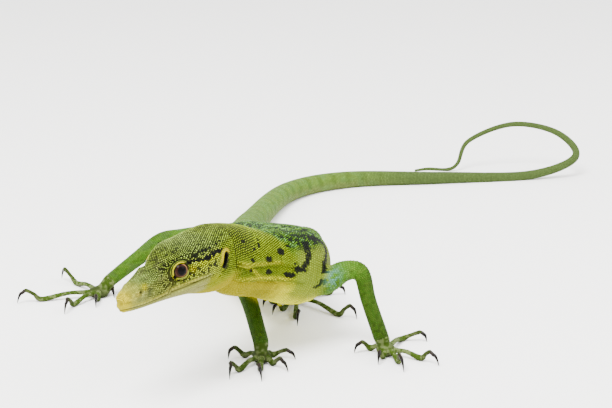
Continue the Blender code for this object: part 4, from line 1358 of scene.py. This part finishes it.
def ear_rim(coat, tree, turned):
    middle, half = (EAR_TOP + EAR_LOW) / 2, np.linalg.norm(EAR_TOP - EAR_LOW) / 2
    long = unit(EAR_TOP - EAR_LOW)
    across = unit(np.cross((0, 1, 0), long))
    if across[0] < 0:
        across = -across
    grow, count = 0.95, 24
    turns = np.arange(count) / count * TURN
    points = middle + np.outer(np.cos(turns) * (half + grow * 0.75), long)
    points = points + np.outer(np.sin(turns) * (0.25 + grow), across)
    along = np.tile(long * turned, (count, 1)) @ AXES
    found = snapped(tree, from_head(points * turned), along, 1.6)
    size = np.tile((0.30, 0.25), (len(found[-1]), 1))
    add_row(coat, found, size, 0.16, count, 0.87 + 0.05 * (turned[1] > 0))


def brow_plates(coat, tree, turned):
    line = np.array(BROW)
    run = run_of(line)
    points = rows_at(np.arange(0.6, run[-1] - 0.4, 1.15), run, line)
    along = np.tile((-1.0, 0, 0), (len(points), 1)) @ AXES
    found = snapped(tree, from_head(points * turned), along, 1.8)
    size = np.tile((0.58, 0.40), (len(found[-1]), 1))
    add_row(coat, found, size, 0.17, len(points), 0.97 + 0.012 * (turned[1] > 0))


def body_scales(tree, start, end):
    rows, run = [], 0.15
    while run < BODY_LENGTH - 0.6:
        if start <= run < end:
            rows.append(run)
        run += body_size(run) * ROW_PITCH * body_stretch(run)

    def section(run):
        return spine_section(min(run, BODY_LENGTH - 0.02), 20, 28)

    roots, along, sizes, charts = ring_scales(section, body_size, body_stretch, rows)
    roots, normals, along, kept = snapped(tree, roots, along, 1.1)
    sizes, charts = sizes[kept], charts[kept]
    keep = roots[:, 2] > 0.25
    run = start + charts[:, 0] * (end - start)
    height = np.interp(run, (TRUNK_END - 15, TRUNK_END + 20), (0.19, 0.14)) * np.minimum(1, sizes[:, 1] / 0.9)
    size, chart = sizes[keep] * (0.56, 0.48), charts[keep] * 0.96 + 0.02
    return [(roots[keep], normals[keep], along[keep], size, height[keep], chart)]


# For limbs and digits: where the rows start, first and last size, stretch, height, and reach past the end.
LIMB_ROWS = {"limb": (2.0, 0.95, 0.72, 1.05, 0.15, 1.5), "digit": (2.2, 0.62, 0.50, 1.25, 0.10, 0.0)}


def ring_hits(tree, kind, centre, radius, rays):
    """Where rays out of a limb's middle meet the skin, with its normals, and which rays do."""
    places, normals, kept = [], [], []
    for i, ray in enumerate(rays):
        if kind == "digit" and ray[2] < -0.75:
            continue
        hit, normal, _, far = tree.ray_cast(Vector(centre), Vector(ray), radius * 1.45 + 0.4)
        if hit is not None and hit[2] >= 0.2 and far >= radius * 0.6:
            places.append(hit)
            normals.append(normal if normal.dot(Vector(ray)) > 0 else -normal)
            kept.append(i)
    return np.array(places), np.array(normals), kept


def limb_scales(tree):
    coat = []
    cells = math.ceil(math.sqrt(len(TUBES)))
    for number, (kind, _, line, tangents, sides) in enumerate(TUBES):
        if kind == "palm":
            continue
        t, size_from, size_to, stretch, height, beyond = LIMB_ROWS[kind]
        run = run_of(line[:, :3])
        end = run[-1] + beyond
        k = 0
        while t < end:
            size = float(np.interp(t, (0, run[-1]), (size_from, size_to)))
            values, tangent, side = (rows_at(min(t, run[-1]), run, table) for table in (line, tangents, sides))
            tangent = unit(tangent)
            side = unit(side - tangent * np.dot(side, tangent))
            centre = values[:3] + tangent * max(0.0, t - run[-1])
            radius = values[3]
            count = max(8, int(round(TURN * radius / size / 2) * 2))
            turns = (np.arange(count) + 0.5 * (k % 2)) / count * TURN
            turns = turns + RNG.uniform(-0.06, 0.06, count) * TURN / count
            rays = np.outer(np.cos(turns), side) + np.outer(np.sin(turns), np.cross(side, tangent))
            places, normals, kept = ring_hits(tree, kind, centre, radius, rays)
            if kept:
                along = flattened(np.tile(tangent, (len(kept), 1)), normals)
                sizes = np.tile((size * stretch * 0.56, TURN * radius / count * 0.48), (len(kept), 1))
                sizes = sizes * RNG.uniform(0.92, 1.04, (len(kept), 1))
                chart = np.stack((np.full(len(kept), t / end), np.array(kept) / count), axis=1) * 0.92 + 0.03
                chart = (chart + (number % cells, number // cells)) / cells
                coat.append((places, normals, along, sizes, np.full(len(kept), height), chart))
            t += size * stretch * ROW_PITCH
            k += 1
    return coat


def point_tree(points):
    tree = KDTree(len(points))
    for i, p in enumerate(points):
        tree.insert(Vector(p), i)
    tree.balance()
    return tree


def thinned(root, size, others):
    """Which scales to keep so that none crowds a later one, or one of the others."""
    tree = point_tree(root)
    keep = np.ones(len(root), bool)
    if len(others):
        taken = point_tree(others)
        for i, p in enumerate(root):
            keep[i] = taken.find(Vector(p))[2] > 1.1 * size[i].min()
    small = size.min(axis=1)
    for i in range(len(root) - 1, -1, -1):
        if keep[i]:
            for _, j, far in tree.find_range(Vector(root[i]), small[i] * 1.5):
                if j < i and keep[j] and far < 0.72 * (small[i] + small[j]):
                    keep[j] = False
    return keep


def dress(obj, finish, replaced=()):
    """Gives a piece its finish, hides the parts it replaces and attaches it to the root body."""
    obj.data.materials.append(finish)
    if replaced:
        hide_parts(*replaced)
    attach(obj, "root")


def paint(mesh, colours):
    layer = mesh.color_attributes.new(name="Tint", type="FLOAT_COLOR", domain="POINT")
    full = np.hstack((colours, np.ones((len(colours), 1))))
    layer.data.foreach_set("color", full.astype(np.float32).ravel())


def scale_mesh(label, root, normal, along, size, height, chart, colour, tint):
    """One mesh of many scales, with colours and an unwrap that gives each its own patch."""
    t = TEMPLATE
    points = (
        root[:, None]
        + t[None, :, :1] * size[:, None, :1] * along[:, None]
        + t[None, :, 1:2] * size[:, None, 1:] * np.cross(normal, along)[:, None]
        + (t[None, :, 2:] * (height[:, None, None] + SUNK) - SUNK) * normal[:, None]
    )
    points[..., 2] = np.maximum(points[..., 2], 0.01)
    count = len(root)
    faces = (TEMPLATE_FACES[None] + SCALE_POINTS * np.arange(count)[:, None, None]).reshape(-1, 3)
    mesh = bpy.data.meshes.new(label)
    mesh.vertices.add(count * SCALE_POINTS)
    mesh.vertices.foreach_set("co", (points * MM).astype(np.float32).ravel())
    mesh.loops.add(len(faces) * 3)
    mesh.polygons.add(len(faces))
    mesh.polygons.foreach_set("loop_start", np.arange(len(faces)) * 3)
    mesh.loops.foreach_set("vertex_index", faces.ravel())
    mesh.update(calc_edges=True)
    paint(mesh, np.clip(colour[:, None] * tint[:, :, None], 0, 1).reshape(-1, 3))
    layer = mesh.uv_layers.new(name="OFBake")
    uv = chart[:, None] + t[None, :, :2] * PATCH
    corner = uv.reshape(-1, 2)[faces.ravel()].reshape(count, len(TEMPLATE_FACES), 3, 2)
    low = chart[:, None, None] + (0.0, PATCH * 1.15)
    corner[:, :UNDER_FACES] = low + (corner[:, :UNDER_FACES] - chart[:, None, None]) * (0.9, 0.08)
    layer.data.foreach_set("uv", corner.astype(np.float32).ravel())
    mesh.shade_smooth()
    return mesh


def build_coat(name, coat, finish, others=()):
    """Builds a coat's scales as pieces, and gives back their roots."""
    table = [np.concatenate(column) for column in zip(*coat)]
    keep = thinned(table[0], table[3], others)
    root, normal, along, size, height, chart = (column[keep] for column in table)
    colour, gap = colours_at(root)
    beaded = np.clip((0.75 - gap) / 0.7, 0, 1)[:, None]
    size = size * (1 - BEAD_SHRINK * beaded**1.5)
    spread = 0.10 + 0.25 * beaded
    colour = colour * (1 + BEAD_GAIN * beaded**1.5) * (1 + spread * RNG.uniform(-1, 1, (len(root), 1)))
    tints = np.tile(TINT, (len(root), 1))
    tints[:, :SIDES] = 0.55 - 0.45 * beaded
    pieces = max(1, math.ceil(len(root) / MOST_IN_PIECE))
    columns = (root, normal, along, size, height, chart, colour, tints)
    for piece in range(pieces):
        part = slice(piece * len(root) // pieces, (piece + 1) * len(root) // pieces)
        label = name if pieces == 1 else f"{name}_{piece + 1}"
        mesh = scale_mesh(label, *(column[part] for column in columns))
        dress(new_object(label, mesh), finish)
    return root


# Finishes
def new_finish(name):
    made = bpy.data.materials.new(name)
    made.use_nodes = True
    return made, made.node_tree, made.node_tree.nodes["Principled BSDF"]


def add_node(tree, kind, inputs=(), **settings):
    node = tree.nodes.new("ShaderNode" + kind)
    for key, value in settings.items():
        setattr(node, key, value)
    for key, value in inputs:
        node.inputs[key].default_value = value
    return node


def tinted_finish(name, roughness, spread, bump_size, bump, specular, mottle=0.12):
    """A finish whose colour is the mesh's tint, varied by noise, with uneven gloss and fine bump."""
    made, tree, shader = new_finish(name)
    tint = add_node(tree, "Attribute", attribute_name="Tint", attribute_type="GEOMETRY")
    place = add_node(tree, "TexCoord")
    blotch = add_node(tree, "TexNoise", (("Scale", 420.0), ("Detail", 3.0)))
    tone = add_node(tree, "MapRange", (("To Min", 1 - mottle), ("To Max", 1 + mottle)))
    mixed = add_node(tree, "VectorMath", operation="SCALE")
    gloss = add_node(tree, "MapRange", (("To Min", roughness - spread), ("To Max", roughness + spread)))
    grain = add_node(tree, "TexNoise", (("Scale", bump_size), ("Detail", 2.0)))
    raised = add_node(tree, "Bump", (("Strength", bump), ("Distance", 0.00008)))
    for source, output, target, entry in (
        (place, "Object", blotch, "Vector"),
        (blotch, "Fac", tone, "Value"),
        (tint, "Color", mixed, 0),
        (tone, "Result", mixed, "Scale"),
        (mixed, "Vector", shader, "Base Color"),
        (blotch, "Fac", gloss, "Value"),
        (gloss, "Result", shader, "Roughness"),
        (place, "Object", grain, "Vector"),
        (grain, "Fac", raised, "Height"),
        (raised, "Normal", shader, "Normal"),
    ):
        tree.links.new(source.outputs[output], target.inputs[entry])
    shader.inputs["Specular IOR Level"].default_value = specular
    return made


# Eyes and claws
PUPIL, IRIS_DARK, IRIS_RED = (0.0015, 0.0015, 0.0015), (0.006, 0.0025, 0.002), (0.022, 0.007, 0.004)
# EYE_RIM_SHADE is painted shade on the ball where the lids overhang it.
IRIS_GOLD, IRIS_INNER, EYE_RIM_SHADE = (0.20, 0.105, 0.040), (0.030, 0.012, 0.005), (0.003, 0.002, 0.002)
CLAW_ROOT, CLAW_DARK, CLAW_TIP = (0.014, 0.010, 0.006), (0.003, 0.0022, 0.0018), (0.022, 0.013, 0.008)
CLAW_FLAT, CLAW_SCALE = 0.12, 1.06
# Rings of the eyeball: first and last angle off the gaze in degrees, and their count.
EYE_RINGS = ((0.5, 20, 14), (20.6, 26, 10), (27, 62, 30), (66, 178, 26))
EYE_SIDES = 96


def eyeball(name, side, finish):
    """A ball with its pole along the gaze: pupil, ringed iris and a dark rim of painted shade along the lids,
    under a raised cornea.
    """
    turned = np.array((1.0, side, 1.0))
    gaze, centre = GAZE * turned, EYE_CENTRE * turned
    around = round_the_gaze(np.linspace(0, TURN, EYE_SIDES, endpoint=False)) * turned
    rings = []
    for off in np.radians(np.concatenate([np.linspace(*row) for row in EYE_RINGS])):
        radius = EYE_RADIUS - 0.02 + 0.16 * float(smooth(-off, -math.radians(42), -math.radians(8)))
        rings.append(centre + radius * (math.cos(off) * gaze + math.sin(off) * around))
    obj = tube(name, from_head(np.array(rings)))
    points = points_of(obj.data)
    d = to_head(points) - centre
    off = np.degrees(np.arccos(np.clip(unit(d) @ gaze, -1, 1)))
    bearing = np.arctan2(d @ (EYE_UP * turned), d @ (EYE_AHEAD * turned))
    streak = 0.5 + 0.5 * np.sin(bearing * 23 + 2.5 * np.sin(bearing * 5))
    fine = noise(points, 0.28, 41)
    tilted = bearing - LID_TILT
    # lit_low_rear is the eye's lit lower rear. Painted light and shade: the iris's gold ring is strongest
    # there and fades toward the top, and the dark rim reaches further in above, as shade under the upper lid.
    lit_low_rear = smooth(-(np.cos(tilted) + 0.9 * np.sin(tilted)), -0.5, 0.7)
    over = off - np.degrees(lid_opening(tilted))
    iris = layered(
        IRIS_DARK,
        (IRIS_RED, smooth(off, 27, 34) * (0.5 + 0.5 * streak * fine)),
        (IRIS_GOLD, bell(off - 40.0, 3.4) * (0.12 + 0.88 * lit_low_rear)),
    )
    paint(obj.data, layered(
        PUPIL,
        (iris, smooth(off, 23.5, 26)),
        (IRIS_INNER, 0.5 * bell(off - 27.0, 1.2)),
        (EYE_RIM_SHADE, smooth(over + 7.0 * (1 - lit_low_rear), -4.0, -0.5)),
    ))
    obj.data.shade_smooth()
    dress(obj, finish, ("eye_left" if side > 0 else "eye_right",))


def claw(name, finish):
    rings, line, _, sides = CLAWS[name]
    flat = rings - line[:, None, :3]
    across = (flat * sides[:, None]).sum(-1, keepdims=True) * sides[:, None]
    rings = line[:, None, :3] + CLAW_SCALE * (flat - across * CLAW_FLAT)
    rings[..., 2] = np.maximum(rings[..., 2], LOWEST)
    obj = tube("nail_" + name, rings)
    points = points_of(obj.data)
    root, tip = line[0, :3], line[-1, :3]
    share = np.clip(np.linalg.norm(points - root, axis=1) / np.linalg.norm(tip - root), 0, 1)
    colour = layered(
        CLAW_ROOT, (CLAW_DARK, smooth(share, 0.05, 0.45)), (CLAW_TIP, 0.45 * smooth(share, 0.8, 1.0))
    )
    paint(obj.data, colour * (0.8 + 0.4 * noise(points, 0.5, 51))[:, None])
    obj.data.shade_smooth()
    dress(obj, finish, ("claw_" + name,))


FLESH = (
    "head", "neck", "torso", "tail_base", "tail_middle", "tail_third", "tail_loop", "tail_tip",
    "upper_arm_front_left", "upper_arm_front_right", "forearm_front_left", "forearm_front_right",
    "hand_front_left", "hand_front_right", "thigh_hind_left", "thigh_hind_right",
    "shin_hind_left", "shin_hind_right", "foot_hind_left", "foot_hind_right",
)


def finish_skin(skin):
    """Colours the skin, and gives back a tree for finding places on it."""
    mesh = skin.data
    points = points_of(mesh)
    colour, gap = colours_at(points)
    paint(mesh, colour * gap[:, None])
    mesh.materials.clear()
    mesh.shade_smooth()
    mesh.set_sharp_from_angle(angle=math.radians(60))
    dress(skin, tinted_finish("skin", 0.55, 0.08, 2600.0, 0.5, specular=0.03), FLESH)
    mesh.calc_loop_triangles()
    flat = np.empty(len(mesh.loop_triangles) * 3, np.int64)
    mesh.loop_triangles.foreach_get("vertices", flat)
    return tree_of(points, flat.reshape(-1, 3).tolist())


# The set, in metres. Lights: name, place, aim, size and power.
WORLD_COLOUR, WORLD_STRENGTH = (1.0, 0.995, 0.985, 1.0), 2.5
LIGHTS = (
    ("key", (-0.35, -0.75, 1.30), (-0.02, -0.05, 0.0), 0.8, 62.0),
    ("fill", (0.9, -0.3, 0.9), (0.0, 0.0, 0.0), 1.0, 11.0),
)
FLOOR_REACH, FLOOR_COLOUR = 8.0, (0.95, 0.945, 0.93, 1.0)
CAMERA_PLACE, CAMERA_TILT = (-0.0165, -0.665, 0.1906), 76
CAMERA_LENS, CAMERA_SENSOR, CAMERA_NEAR = 91.65, 36.0, 0.01


def set_scene():
    scene = bpy.context.scene
    scene.world = bpy.data.worlds.new("studio")
    scene.world.use_nodes = True
    background = scene.world.node_tree.nodes["Background"]
    background.inputs["Color"].default_value = WORLD_COLOUR
    background.inputs["Strength"].default_value = WORLD_STRENGTH
    for name, place, aim, size, power in LIGHTS:
        light = bpy.data.lights.new(name, "AREA")
        light.shape = "DISK"
        light.size = size
        light.energy = power
        obj = new_object(name, light)
        obj.location = place
        obj.rotation_euler = (Vector(aim) - Vector(place)).to_track_quat("-Z", "Y").to_euler()
    mesh = bpy.data.meshes.new("floor")
    corners = [(x * FLOOR_REACH, y * FLOOR_REACH, 0) for x, y in ((-1, -1), (1, -1), (1, 1), (-1, 1))]
    mesh.from_pydata(corners, [], [(0, 1, 2, 3)])
    finish, _, shader = new_finish("floor")
    for key, value in (("Base Color", FLOOR_COLOUR), ("Roughness", 0.7), ("Specular IOR Level", 0.1)):
        shader.inputs[key].default_value = value
    mesh.materials.append(finish)
    new_object("floor", mesh)
    camera = bpy.data.cameras.new("camera")
    camera.lens = CAMERA_LENS
    camera.sensor_width = CAMERA_SENSOR
    camera.clip_start = CAMERA_NEAR
    scene.camera = new_object("camera", camera)
    scene.camera.location = CAMERA_PLACE
    scene.camera.rotation_euler = (math.radians(CAMERA_TILT), 0, 0)


def main():
    tree = finish_skin(build_skin())
    coat_finish = tinted_finish("scales", 0.38, 0.08, 3500.0, 0.25, specular=0.035)
    soft_finish = tinted_finish("scales_soft", 0.42, 0.08, 3500.0, 0.25, specular=0.05)
    taken = build_coat("scales_head", head_scales(tree), coat_finish)
    build_coat("scales_neck", body_scales(tree, 0.0, NECK_END), coat_finish, taken)
    build_coat("scales_back", body_scales(tree, NECK_END, TRUNK_END), soft_finish)
    build_coat("scales_tail", body_scales(tree, TRUNK_END, BODY_LENGTH), soft_finish)
    build_coat("scales_limbs", limb_scales(tree), soft_finish)
    eye_finish = tinted_finish("eye", 0.06, 0.02, 900.0, 0.0, specular=0.035, mottle=0.05)
    eyeball("eyeball_left", 1, eye_finish)
    eyeball("eyeball_right", -1, eye_finish)
    claw_finish = tinted_finish("claw", 0.30, 0.05, 1500.0, 0.2, specular=0.10)
    for name in CLAWS:
        claw(name, claw_finish)
    set_scene()


main()
